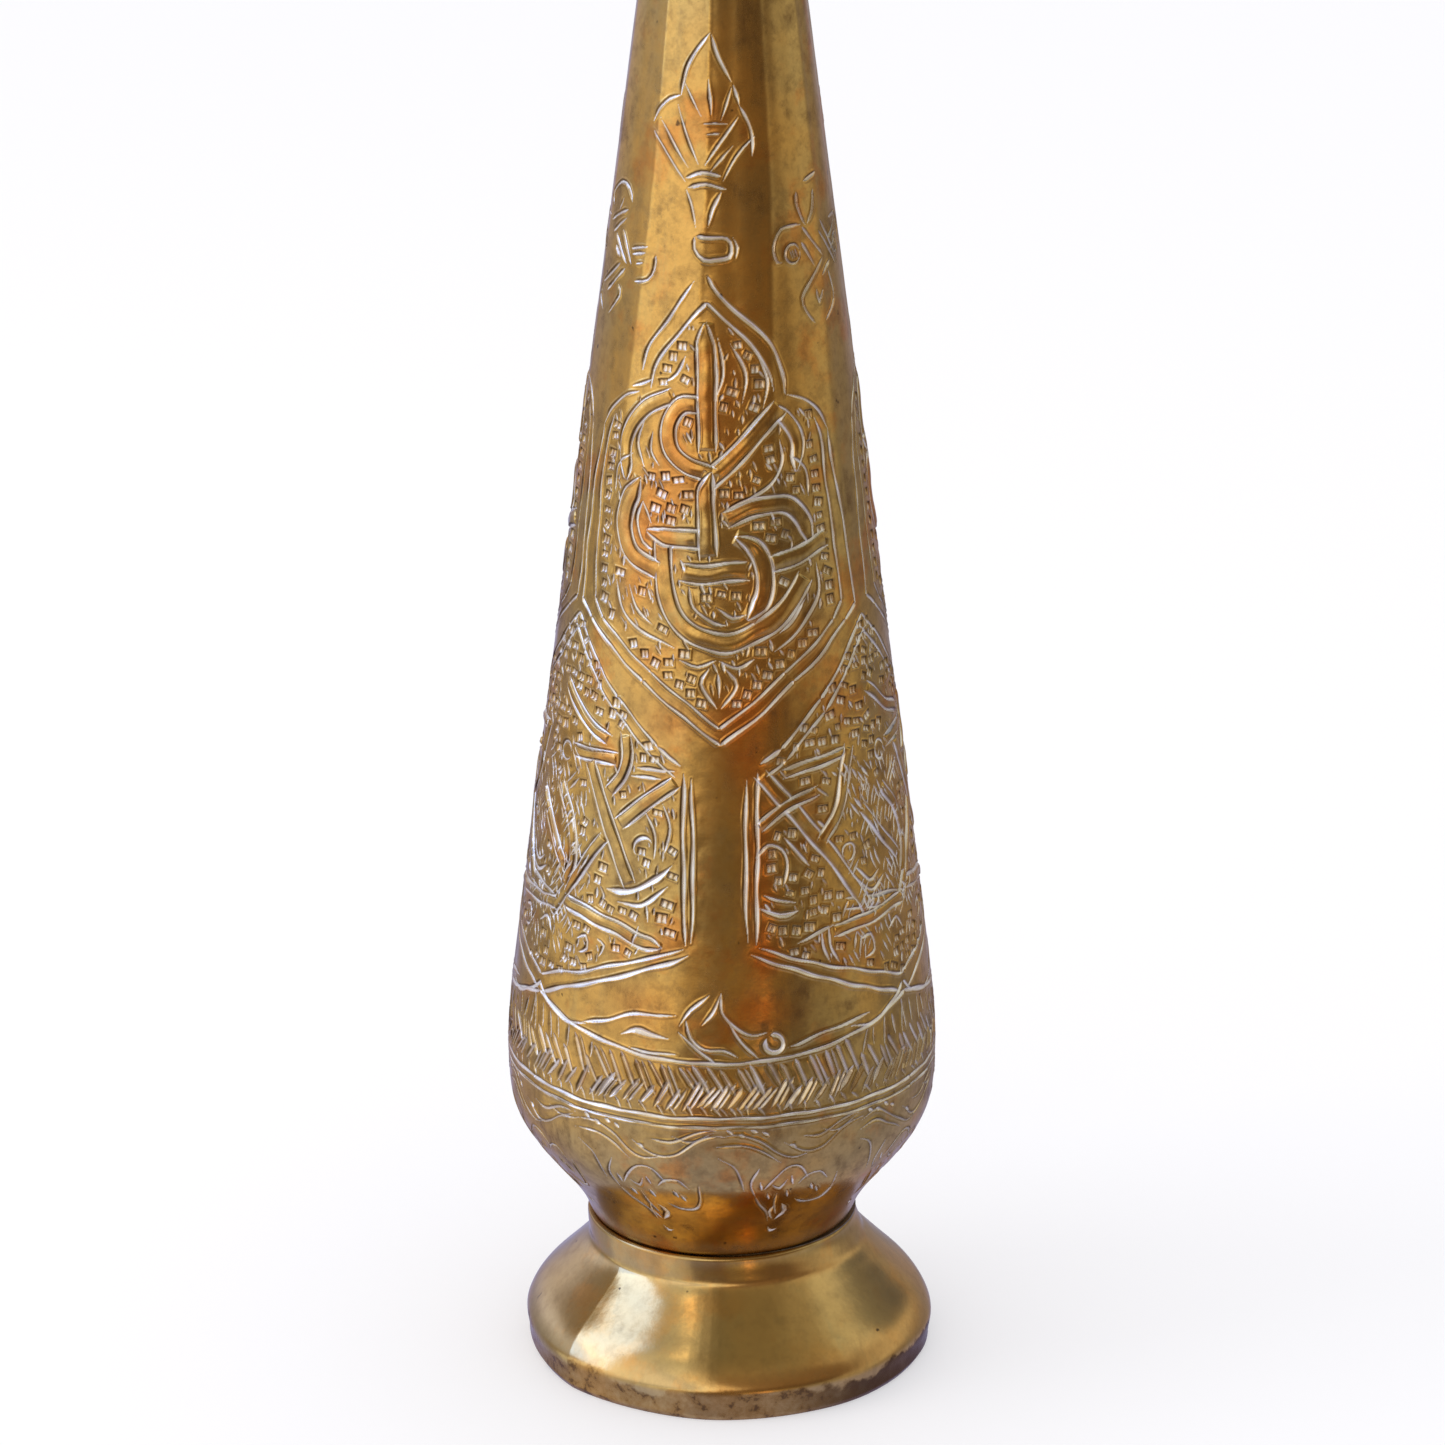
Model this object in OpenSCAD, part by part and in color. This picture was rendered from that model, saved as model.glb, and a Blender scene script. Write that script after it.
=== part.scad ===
// Tapered brass vase on a flared, hollow foot.
// It is put together from spun and raised sheet: a long cone, a cup that closes
// it from below, a foot under the cup and a trumpet mouth on the neck.
// Units are millimetres. The origin is on the floor, under the axis of the cone.

/* [Body] */
// Height from the floor to the top of the mouth
total_h = 250; // [246:1:258]
// Height at which the cone ends and the mouth begins
neck_z = 222; // [216:1:224]
// Outer radius of the cone's upper end
neck_r = 9.2; // [9:0.1:10]
// Height at which the belly's curve runs out into the straight cone
cone_z = 66; // [60:1:72]
// Outer radius of the cone where its straight run begins
cone_r = 29.9; // [29.5:0.1:30.5]
// Height of the seam between the cone and the cup
seam_z = 47; // [46:0.5:50]
// Height at which the cup's curve turns upright into the belly
belly_z = 42; // [41:0.5:43]
// Outer radius of the cup where it turns upright
belly_r = 31.5; // [31:0.1:32]
// Height at which the cup sits on the foot
waist_z = 21.4; // [20.4:0.2:22]
// Outer radius of the cup just above the foot
waist_r = 20; // [19.6:0.1:20.4]

/* [Foot] */
// Outer radius of the rim that stands on the floor
foot_r = 30.4; // [29.5:0.1:31.5]
// Height of the upright rim
rim_h = 4; // [3:0.5:5]
// Height at which the skirt meets the collar
skirt_z = 16.8; // [16:0.2:17.4]
// Outer radius of the collar's upper edge
collar_r = 20.1; // [19.9:0.1:20.6]
// How far off the cone's axis the foot was soldered
foot_shift = 1; // [0:0.1:1.2]

/* [Mouth] */
// Outer radius of the mouth
mouth_r = 17; // [15:0.5:19]
// Inner radius of the throat that holds the stems
throat_r = 6.7; // [6:0.1:6.9]
// Outer radius of the ring that covers the neck joint
ring_r = 11.3; // [10.8:0.1:12.5]

/* [Sheet and wire] */
// Thickness of the brass sheet
wall = 1; // [0.8:0.1:1]
// Thickness of the solder between the cone and the cup
solder_t = 0.15; // [0.1:0.05:0.3]
// Radius of the wire inside the rolled mouth
wire_r = 0.8; // [0.6:0.1:1]

/* [Hidden] */
$fn = 96;

STEPS = 20;             // straight pieces in one curve
BRASS = [0.78, 0.58, 0.31];
SOLDER = [0.62, 0.60, 0.56];
WIRE = [0.72, 0.62, 0.42];

lap_h = 4;              // height of the joint between the cone and the cup
joggle_h = 1;           // height over which the cup's edge steps inwards
spigot_r = collar_r - wall - foot_shift - 0.2;
spigot_z = waist_z - 3.4;
throat_h = 12;          // length of the straight throat
throat_top_z = neck_z + 2;
throat_low_z = throat_top_z - throat_h;
tube_r = throat_r + wall;
ring_h = 5;
ring_z = neck_z + 1;    // middle of the ring
curl_t = 0.6;           // sheet thickness where it wraps the wire
curl_r = wire_r + curl_t;
wire_z = total_h - curl_r;
wire_ring_r = mouth_r - curl_r;
curl_gap = 0.3;         // slot left between the curl's edge and the sheet

// A point of the cubic curve with end points a and d and handles b and c.
function bezier(a, b, c, d, t) =
    pow(1 - t, 3) * a + 3 * t * pow(1 - t, 2) * b
    + 3 * t * t * (1 - t) * c + pow(t, 3) * d;

// The curve as a run of points, from a to d.
function curve(a, b, c, d) =
    [for (i = [0 : STEPS]) bezier(a, b, c, d, i / STEPS)];

// A run of points moved to its left by t, square to the run.
function inset(run, t) =
    [for (i = [0 : len(run) - 1])
        let (last = len(run) - 1,
             along = run[min(i + 1, last)] - run[max(i - 1, 0)])
        run[i] + t * [-along[1], along[0]] / norm(along)];

// A run of points moved towards the axis by t, at the same heights.
function inward(run, t) = [for (p = run) p - [t, 0]];

function reversed(run) = [for (i = [len(run) - 1 : -1 : 0]) run[i]];

function below(run, z) = [for (p = run) if (p[1] < z) p];

function above(run, z) = [for (p = run) if (p[1] > z) p];

// The point where a rising run passes height z.
function crossing(run, z) =
    let (i = len(below(run, z)),
         t = (z - run[i - 1][1]) / (run[i][1] - run[i - 1][1]))
    run[i - 1] + t * (run[i] - run[i - 1]);

// Outer radius of the straight cone at height z.
function cone_at(z) = cone_r + (neck_r - cone_r) * (z - cone_z) / (neck_z - cone_z);

// Outer outline of the belly, from where it turns upright up to the straight cone.
slope = (cone_r - neck_r) / (neck_z - cone_z);
belly_run = curve([belly_r, belly_z], [belly_r + 0.6, belly_z + 8],
                  [cone_r + 8 * slope, cone_z - 8], [cone_r, cone_z]);
seam_point = crossing(belly_run, seam_z);

// Outer outline of the cup, from the foot up to the seam.
cup_run = concat(curve([waist_r, waist_z], [waist_r, waist_z + 6.1],
                       [belly_r - 0.5, belly_z - 8], [belly_r, belly_z]),
                 above(below(belly_run, seam_z), belly_z), [seam_point]);

// Outer outline of the foot: its skirt, then its collar.
skirt_run = curve([foot_r, rim_h], [foot_r + 0.2, rim_h + 5.5],
                  [foot_r - 6.4, skirt_z - 5.6], [collar_r + 0.8, skirt_z]);
collar_run = curve([collar_r + 0.8, skirt_z], [collar_r + 0.3, skirt_z + 1.4],
                   [collar_r, waist_z - 1.8], [collar_r, waist_z]);

// Outer outline of the trumpet, from the throat to the wired edge.
trumpet_run = curve([tube_r, throat_top_z], [tube_r, throat_top_z + 11],
                    [tube_r + 2.4, wire_z - 2.5], [wire_ring_r, wire_z - curl_r + 0.3]);

// The stretch of the belly where the solder and the cup's lip lie inside the cone.
joint_run = concat([seam_point], above(below(belly_run, seam_z + lap_h), seam_z),
                   [crossing(belly_run, seam_z + lap_h)]);

module neck_cone() {
    outer = concat([seam_point], above(belly_run, seam_z), [[neck_r, neck_z]]);
    color(BRASS)
        rotate_extrude()
            polygon(concat(outer, reversed(inward(outer, wall))));
}

module belly_cup() {
    lip_out = inward(joint_run, wall + solder_t);
    lip_in = inward(joint_run, 2 * wall + solder_t);
    lip_foot = [lip_in[0] - [0, joggle_h]];
    inside = above(below(inset(cup_run, wall), seam_z - 2 * joggle_h), waist_z + wall);
    color(BRASS)
        rotate_extrude()
            polygon(concat(
                [[0, spigot_z], [spigot_r, spigot_z], [spigot_r, waist_z]],
                cup_run,
                lip_out,
                reversed(lip_in),
                lip_foot,
                reversed(inside),
                [[spigot_r - wall, waist_z + wall], [spigot_r - wall, spigot_z + wall],
                 [0, spigot_z + wall]]));
}

module belly_solder() {
    color(SOLDER)
        rotate_extrude()
            polygon(concat(inward(joint_run, wall),
                           reversed(inward(joint_run, wall + solder_t))));
}

// The foot's outline from the floor to the collar's top edge.
function foot_run() =
    concat([[foot_r - 0.6, 0], [foot_r - 0.1, 0.8]], skirt_run,
           above(collar_run, skirt_z));

module foot() {
    inside = above(inset(foot_run(), wall), 0.5);
    floor_edge = [[inside[0][0], 0]];
    color(BRASS)
        translate([foot_shift, 0, 0])
            rotate_extrude()
                polygon(concat(foot_run(), reversed(inside), floor_edge));
}

// Solder that fills the crescent between the foot's collar and the cup's spigot.
module foot_solder() {
    socket = above(inset(foot_run(), wall), spigot_z + 0.5);
    color(SOLDER)
        difference() {
            translate([foot_shift, 0, 0])
                rotate_extrude()
                    polygon(concat([[0, socket[0][1]]], socket, [[0, waist_z]]));
            translate([0, 0, spigot_z - 1])
                cylinder(h = waist_z - spigot_z + 2, r = spigot_r);
        }
}

// Half-round ring that sits on the cone's edge and around the throat.
module neck_ring() {
    belly = ring_r - tube_r;
    color(BRASS)
        difference() {
            rotate_extrude()
                translate([tube_r, ring_z])
                    intersection() {
                        scale([belly / (ring_h / 2), 1])
                            circle(r = ring_h / 2);
                        translate([0, -ring_h / 2])
                            square([belly + 1, ring_h]);
                    }
            rotate_extrude()
                polygon([[0, ring_z - ring_h], [cone_at(ring_z - ring_h), ring_z - ring_h],
                         [neck_r, neck_z], [tube_r, neck_z],
                         [tube_r, ring_z + ring_h], [0, ring_z + ring_h]]);
        }
}

module neck_solder() {
    low_z = neck_z - 5;
    color(SOLDER)
        rotate_extrude()
            polygon([[tube_r, low_z], [cone_at(low_z) - wall, low_z],
                     [neck_r - wall, neck_z], [tube_r, neck_z]]);
}

module mouth_flare() {
    inside = above(inset(trumpet_run, wall), throat_top_z + 1);
    color(BRASS)
        rotate_extrude()
            difference() {
                union() {
                    polygon(concat([[tube_r, throat_low_z]], trumpet_run,
                                   reversed(inside),
                                   [[throat_r, throat_top_z], [throat_r, throat_low_z]]));
                    translate([wire_ring_r, wire_z])
                        circle(r = curl_r);
                }
                translate([wire_ring_r, wire_z]) {
                    circle(r = wire_r);
                    rotate(-70)
                        square([2 * curl_r, curl_gap]);
                }
            }
}

module rim_wire() {
    color(WIRE)
        rotate_extrude()
            translate([wire_ring_r, wire_z])
                circle(r = wire_r);
}

neck_cone();
belly_cup();
belly_solder();
foot();
foot_solder();
neck_ring();
neck_solder();
mouth_flare();
rim_wire();
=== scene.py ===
"""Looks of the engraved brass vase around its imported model.

The sizes of the pieces come from the frame. The body's sheet is rebuilt as a fine lathe
mesh whose outside carries the chased ornament as real relief, drawn by strokes, straps
and punches on the unrolled surface. Foot and mouth are lathe meshes too; the neck ring,
the wire and the solder are shown as packed.

Ornament is drawn in millimetres: x along the surface from the middle of its sector,
z the height. Azimuth is in degrees, 0 at the front (-Y), positive to +X.
"""
import math

import bpy
import numpy as np
from mathutils import Matrix, Vector
from mathutils.bvhtree import BVHTree


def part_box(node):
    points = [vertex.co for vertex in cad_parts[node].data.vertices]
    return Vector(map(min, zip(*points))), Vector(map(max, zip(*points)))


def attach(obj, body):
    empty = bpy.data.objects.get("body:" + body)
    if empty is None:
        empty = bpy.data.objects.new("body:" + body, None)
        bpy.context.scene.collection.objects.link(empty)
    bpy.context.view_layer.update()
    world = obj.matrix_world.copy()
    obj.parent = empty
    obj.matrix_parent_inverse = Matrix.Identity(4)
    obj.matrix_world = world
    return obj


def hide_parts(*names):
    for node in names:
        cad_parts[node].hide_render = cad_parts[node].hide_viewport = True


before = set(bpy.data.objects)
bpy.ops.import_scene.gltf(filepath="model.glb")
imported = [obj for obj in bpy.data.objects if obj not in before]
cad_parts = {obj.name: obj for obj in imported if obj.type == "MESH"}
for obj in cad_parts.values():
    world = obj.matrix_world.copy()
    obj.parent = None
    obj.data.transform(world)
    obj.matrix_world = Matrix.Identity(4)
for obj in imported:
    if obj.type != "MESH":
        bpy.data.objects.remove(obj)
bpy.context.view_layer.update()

MM = 0.001
DEG = math.pi / 180


# ---------------------------------------------------------------- camera
CAMERA_AT = (0.0001, -0.6274, 0.3072)   # metres
CAMERA_DOWN = 18.51                     # degrees below level
CAMERA_ANGLE = 18.0                     # degrees of view


def new_object(name, data):
    made = bpy.data.objects.new(name, data)
    bpy.context.scene.collection.objects.link(made)
    return made


def make_camera():
    """Looks down at the vase from in front, close enough to cut off its mouth."""
    data = bpy.data.cameras.new("camera")
    data.angle = CAMERA_ANGLE * DEG
    camera = new_object("camera", data)
    camera.location = CAMERA_AT
    camera.rotation_euler = ((90 - CAMERA_DOWN) * DEG, 0, 0)
    bpy.context.scene.camera = camera


make_camera()


# ---------------------------------------------------------------- outlines read from the frame
class Skin:
    """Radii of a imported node, found by rays towards and away from its axis."""

    RAYS = 24
    FIRST_RAY = 0.01         # radians, so that no ray runs along a corner of the mesh
    FAR = 0.1                # metres from the axis to where the rays from outside start

    def __init__(self, node):
        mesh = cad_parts[node].data
        self.tree = BVHTree.FromPolygons([v.co for v in mesh.vertices],
                                         [p.vertices for p in mesh.polygons])
        low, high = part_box(node)
        self.low = low[2] / MM
        self.high = high[2] / MM
        self.axis_x = (low[0] + high[0]) / 2

    def radius(self, height, inside=False):
        """The largest radius in mm of the outer skin, or of the inner one, at a height in mm."""
        best = 0.0
        centre = Vector((self.axis_x, 0, height * MM))
        for turn in np.arange(self.RAYS) * 2 * math.pi / self.RAYS + self.FIRST_RAY:
            way = Vector((math.cos(turn), math.sin(turn), 0))
            start, aim = (centre, way) if inside else (centre + way * self.FAR, -way)
            hit = self.tree.ray_cast(start, aim)[0]
            if hit is not None:
                best = max(best, (hit - centre).length / MM)
        return best

    def outline(self, heights, inside=False):
        return np.array([self.radius(h, inside) for h in heights])


CLEAR = 0.03                 # how far a ray stays from a step in the outline, mm
OUTLINE_STEP = 0.25          # mm
cup = Skin("belly_cup")
cone = Skin("neck_cone")
WAIST_Z = Skin("foot").high
SEAM_Z = cone.low
NECK_Z = cone.high


def blurred(values, reach):
    """Values smoothed over a few neighbours, with the two ends kept."""
    kernel = np.exp(-0.5 * (np.arange(-3 * reach, 3 * reach + 1) / reach) ** 2)
    kernel /= kernel.sum()
    pad = 3 * reach
    head = 2 * values[0] - values[1:pad + 1][::-1]
    tail = 2 * values[-1] - values[-pad - 1:-1][::-1]
    return np.convolve(np.concatenate([head, values, tail]), kernel, mode="valid")


def body_outline():
    """Heights and outer radii of cup and cone together."""
    heights = np.arange(WAIST_Z + CLEAR, NECK_Z - CLEAR, OUTLINE_STEP)
    low = cup.outline(heights[heights < SEAM_Z])
    high = cone.outline(heights[heights >= SEAM_Z])
    return heights, blurred(np.concatenate([low, high]), 4)


OUTLINE_Z, OUTLINE_R = body_outline()
OUTLINE_S = np.concatenate([[0], np.cumsum(np.hypot(np.diff(OUTLINE_Z), np.diff(OUTLINE_R)))])


def radius_at(z):
    return np.interp(z, OUTLINE_Z, OUTLINE_R)


def arc_at(z):
    return np.interp(z, OUTLINE_Z, OUTLINE_S)


# ---------------------------------------------------------------- the engraver's sheet
COLUMNS = 1664
ROW_STEP = 0.13     # mm
HALVED_Z = 150               # above this height every other column is left out
GRAVER_DEPTH = 0.22          # mm
PUNCH_DEPTH = 0.26           # mm
REACH = 0.7                  # how far lips and painted shade reach beside a stroke, mm
rng = np.random.default_rng(11)


def row_arcs():
    """Arc lengths of the rows, with one row exactly on the seam."""
    seam = arc_at(SEAM_Z)
    top = OUTLINE_S[-1]
    low = np.linspace(0, seam, math.ceil(seam / ROW_STEP) + 1)
    high = np.linspace(seam, top, math.ceil((top - seam) / ROW_STEP) + 1)
    return np.concatenate([low, high[1:]]), len(low) - 1


ROW_S, SEAM_ROW = row_arcs()
ROW_Z = np.interp(ROW_S, OUTLINE_S, OUTLINE_Z)
ROW_R = radius_at(ROW_Z)


def azimuth_of(column, count=COLUMNS):
    return -180 + 360 * column / count


def column_of(azimuth):
    return (azimuth + 180) / 360 * COLUMNS


def signed(angle):
    """The same angle between -180 and 180 degrees."""
    return (angle + 180) % 360 - 180


AZIMUTH = azimuth_of(np.arange(COLUMNS))


def smoothstep(x):
    x = np.clip(x, 0, 1)
    return x * x * (3 - 2 * x)


class Sheet:
    """The unrolled surface of the body, and what has been cut into it."""

    def __init__(self):
        shape = (len(ROW_S), COLUMNS)
        self.cut = np.zeros(shape, np.float32)      # depth of cuts, mm
        self.lip = np.zeros(shape, np.float32)      # metal pushed up beside cuts, mm
        self.rise = np.zeros(shape, np.float32)     # crown of straps, mm
        self.bright = np.zeros(shape, np.float32)   # freshly cut metal and painted highlight, 0 to 1
        self.painted_shade = np.zeros(shape, np.float32)    # painted shade along the cuts, in punches and at the foot's joint, 0 to 1
        self.orange_reflection = np.zeros(shape, np.float32)    # painted copper-red reflection, 0 to 1
        self.taken = np.zeros(shape, bool)          # no punch goes here

    def window(self, azimuths, arcs, reach):
        """Rows and columns around a run of points, with reach mm to spare."""
        low = max(int(np.searchsorted(ROW_S, min(arcs) - reach)) - 1, 0)
        high = min(int(np.searchsorted(ROW_S, max(arcs) + reach)) + 1, len(ROW_S))
        side = reach / (ROW_R[low:max(high, low + 1)].min() * DEG)
        first = math.floor(column_of(min(azimuths) - side))
        last = math.ceil(column_of(max(azimuths) + side))
        return low, high, first, last

    def trace(self, points, reach):
        """Where a run of points lies, and there: distance to it, length along it, its total
        length and how far to its lower right."""
        azimuths = [p[0] for p in points]
        arcs = [float(arc_at(p[1])) for p in points]
        low, high, first, last = self.window(azimuths, arcs, reach)
        distance = np.full((high - low, last - first), 99.0)
        along = np.zeros_like(distance)
        lit = np.zeros_like(distance)
        total = 0.0
        for k in range(len(points) - 1):
            pair = slice(k, k + 2)
            a, b, c, d = self.window(azimuths[pair], arcs[pair], reach)
            scale = float(np.interp(sum(arcs[pair]) / 2, ROW_S, ROW_R)) * DEG
            x = (azimuth_of(np.arange(c, d)) - azimuths[k])[None, :] * scale
            y = (ROW_S[a:b] - arcs[k])[:, None]
            dx = (azimuths[k + 1] - azimuths[k]) * scale
            dy = arcs[k + 1] - arcs[k]
            length = max(math.hypot(dx, dy), 1e-6)
            t = np.clip((x * dx + y * dy) / length ** 2, 0, 1)
            x = x - t * dx
            y = y - t * dy
            here = np.hypot(x, y)
            part = (slice(a - low, b - low), slice(c - first, d - first))
            nearer = here < distance[part]
            distance[part] = np.where(nearer, here, distance[part])
            along[part] = np.where(nearer, total + t * length, along[part])
            lit[part] = np.where(nearer, 0.6 * x - 0.8 * y, lit[part])
            total += length
        columns = np.arange(first, last) % COLUMNS
        return (slice(low, high), columns), distance, along, total, lit

    def raise_to(self, layer, where, values):
        layer[where] = np.maximum(layer[where], values)

    def groove(self, points, width=0.56, lead=(1.5, 1.5), depth=GRAVER_DEPTH, shine=1.0):
        """One stroke of the graver. Its lead says over how many mm it swells and runs out."""
        where, distance, along, total, lit = self.trace(points, width / 2 + REACH)
        swell = np.minimum(along / max(lead[0], 1e-3), (total - along) / max(lead[1], 1e-3))
        swell = np.clip(swell, 0.1, 1) ** 0.7
        pace, phase, glint, turn = rng.uniform((0.5, 0, 0.6, 0), (1.1, 6.28, 1.6, 6.28))
        swell *= 0.9 + 0.16 * np.sin(along * pace + phase)
        half = width / 2 * swell
        lit = np.clip(lit / half, -1.3, 1.3)
        wall = np.clip(1 - distance / half, 0, 1)
        self.raise_to(self.cut, where, depth * swell * wall)
        lip = 0.07 * swell * np.exp(-((distance - half - 0.12) / 0.13) ** 2)
        self.raise_to(self.lip, where, lip)
        # painted highlight: the light core of the cut lies toward its lower right, the side lit from the
        # upper left
        glow = shine * rng.uniform(0.85, 1) * (0.86 + 0.14 * np.sin(along * glint + turn))
        glow = glow * smoothstep((wall + 0.35 * lit - 0.2) * 3.2) * (wall > 0)
        self.raise_to(self.bright, where, glow)
        # painted shade: a dark line along the upper-left wall of the cut, the side away from the light,
        # faint on the lit side
        shade = swell * np.clip(0.5 - 0.75 * lit, 0.16, 1)
        self.raise_to(self.painted_shade, where, shade * np.exp(-((distance - 0.9 * half) / 0.18) ** 2))
        self.taken[where] |= distance < half + 0.2

    def band(self, points, width, crown):
        """A slightly domed plain band with square ends, laid over what was cut before."""
        where, distance, along, total, _ = self.trace(points, width / 2 + REACH)
        half = width / 2
        inside = smoothstep((half - distance) / 0.15)
        inside *= smoothstep(along / 0.3) * smoothstep((total - along) / 0.3)
        for layer in (self.cut, self.lip, self.bright, self.painted_shade, self.rise):
            layer[where] *= 1 - inside
        self.rise[where] += inside * crown * (1 - (distance / half) ** 2).clip(0, 1)
        self.taken[where] |= (distance < half + 0.3) & (inside > 0)

    def punch(self, azimuth, z, wide, tall, turn):
        """A mark of the two-toothed punch, with a painted highlight in its teeth and painted shade along
        its upper rim, left out where it doesn't fit.
        """
        arc = float(arc_at(z))
        low, high, first, last = self.window([azimuth], [arc], wide)
        where = (slice(low, high), np.arange(first, last) % COLUMNS)
        scale = float(radius_at(z)) * DEG
        x = (azimuth_of(np.arange(first, last)) - azimuth)[None, :] * scale
        y = (ROW_S[low:high] - arc)[:, None]
        u = (x * math.cos(turn) + y * math.sin(turn)) / (wide / 2)
        v = (y * math.cos(turn) - x * math.sin(turn)) / (tall / 2)
        edge = np.maximum(np.abs(u), np.abs(v))
        if self.taken[where][edge < 1.0].any():
            return
        wall = np.clip((1.08 - edge) / 0.3, 0, 1)
        tooth = np.abs(np.sin(math.pi * u)) ** 0.5
        steep = 0.8 + 0.2 * np.clip(v, -1, 1)
        self.raise_to(self.cut, where, PUNCH_DEPTH * wall * (0.45 + 0.55 * tooth) * steep)
        self.raise_to(self.lip, where, 0.06 * np.exp(-((edge - 1.25) / 0.2) ** 2))
        # painted highlight: the teeth are lightest toward their lower side, as if lit from above
        lower = np.clip(0.75 - 0.9 * v, 0, 1)
        glow = smoothstep(wall * 1.6) * tooth ** 2 * lower
        self.raise_to(self.bright, where, glow * rng.uniform(0.35, 1))
        # painted shade: darker along the upper rim and in the pit between the teeth
        rim = np.exp(-((edge - 1.02) / 0.2) ** 2) * np.clip(0.35 + 0.75 * v, 0.15, 1)
        self.raise_to(self.painted_shade, where, rim + 0.6 * wall * (1 - tooth))
        self.taken[where] |= edge < 1.5


sheet = Sheet()


# ---------------------------------------------------------------- drawing helpers
def smooth(points, step=0.7):
    """A Catmull-Rom curve through the points."""
    p = np.array(points, float)
    p = np.vstack([2 * p[0] - p[1], p, 2 * p[-1] - p[-2]])
    run = []
    for a, b, c, d in zip(p[:-3], p[1:-2], p[2:-1], p[3:]):
        count = max(2, int(np.hypot(*(c - b)) / step))
        for t in np.arange(count) / count:
            run.append(0.5 * (2 * b + (c - a) * t + (2 * a - 5 * b + 4 * c - d) * t ** 2
                              + (3 * b - a - 3 * c + d) * t ** 3))
    run.append(p[-2])
    return run


def ring(x, z, radius, start=0, end=360):
    """Points of an arc, angles in degrees, anticlockwise from +x."""
    turns = np.radians(np.linspace(start, end, max(6, int(abs(end - start) / 18))))
    return [(x + radius * math.cos(t), z + radius * math.sin(t)) for t in turns]


def sided(points, sign):
    return [(sign * x, z) for x, z in points]


def mirrored(points):
    return sided(points, -1)


def extent(outline):
    """Lowest and highest x, then lowest and highest z."""
    xs, zs = zip(*outline)
    return min(xs), max(xs), min(zs), max(zs)


def inside_outline(x, z, outline):
    """Whether a point lies inside a closed outline."""
    odd = False
    for (x0, z0), (x1, z1) in zip(outline, outline[1:] + outline[:1]):
        if (z0 > z) != (z1 > z) and x < x0 + (z - z0) / (z1 - z0) * (x1 - x0):
            odd = not odd
    return odd


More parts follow.
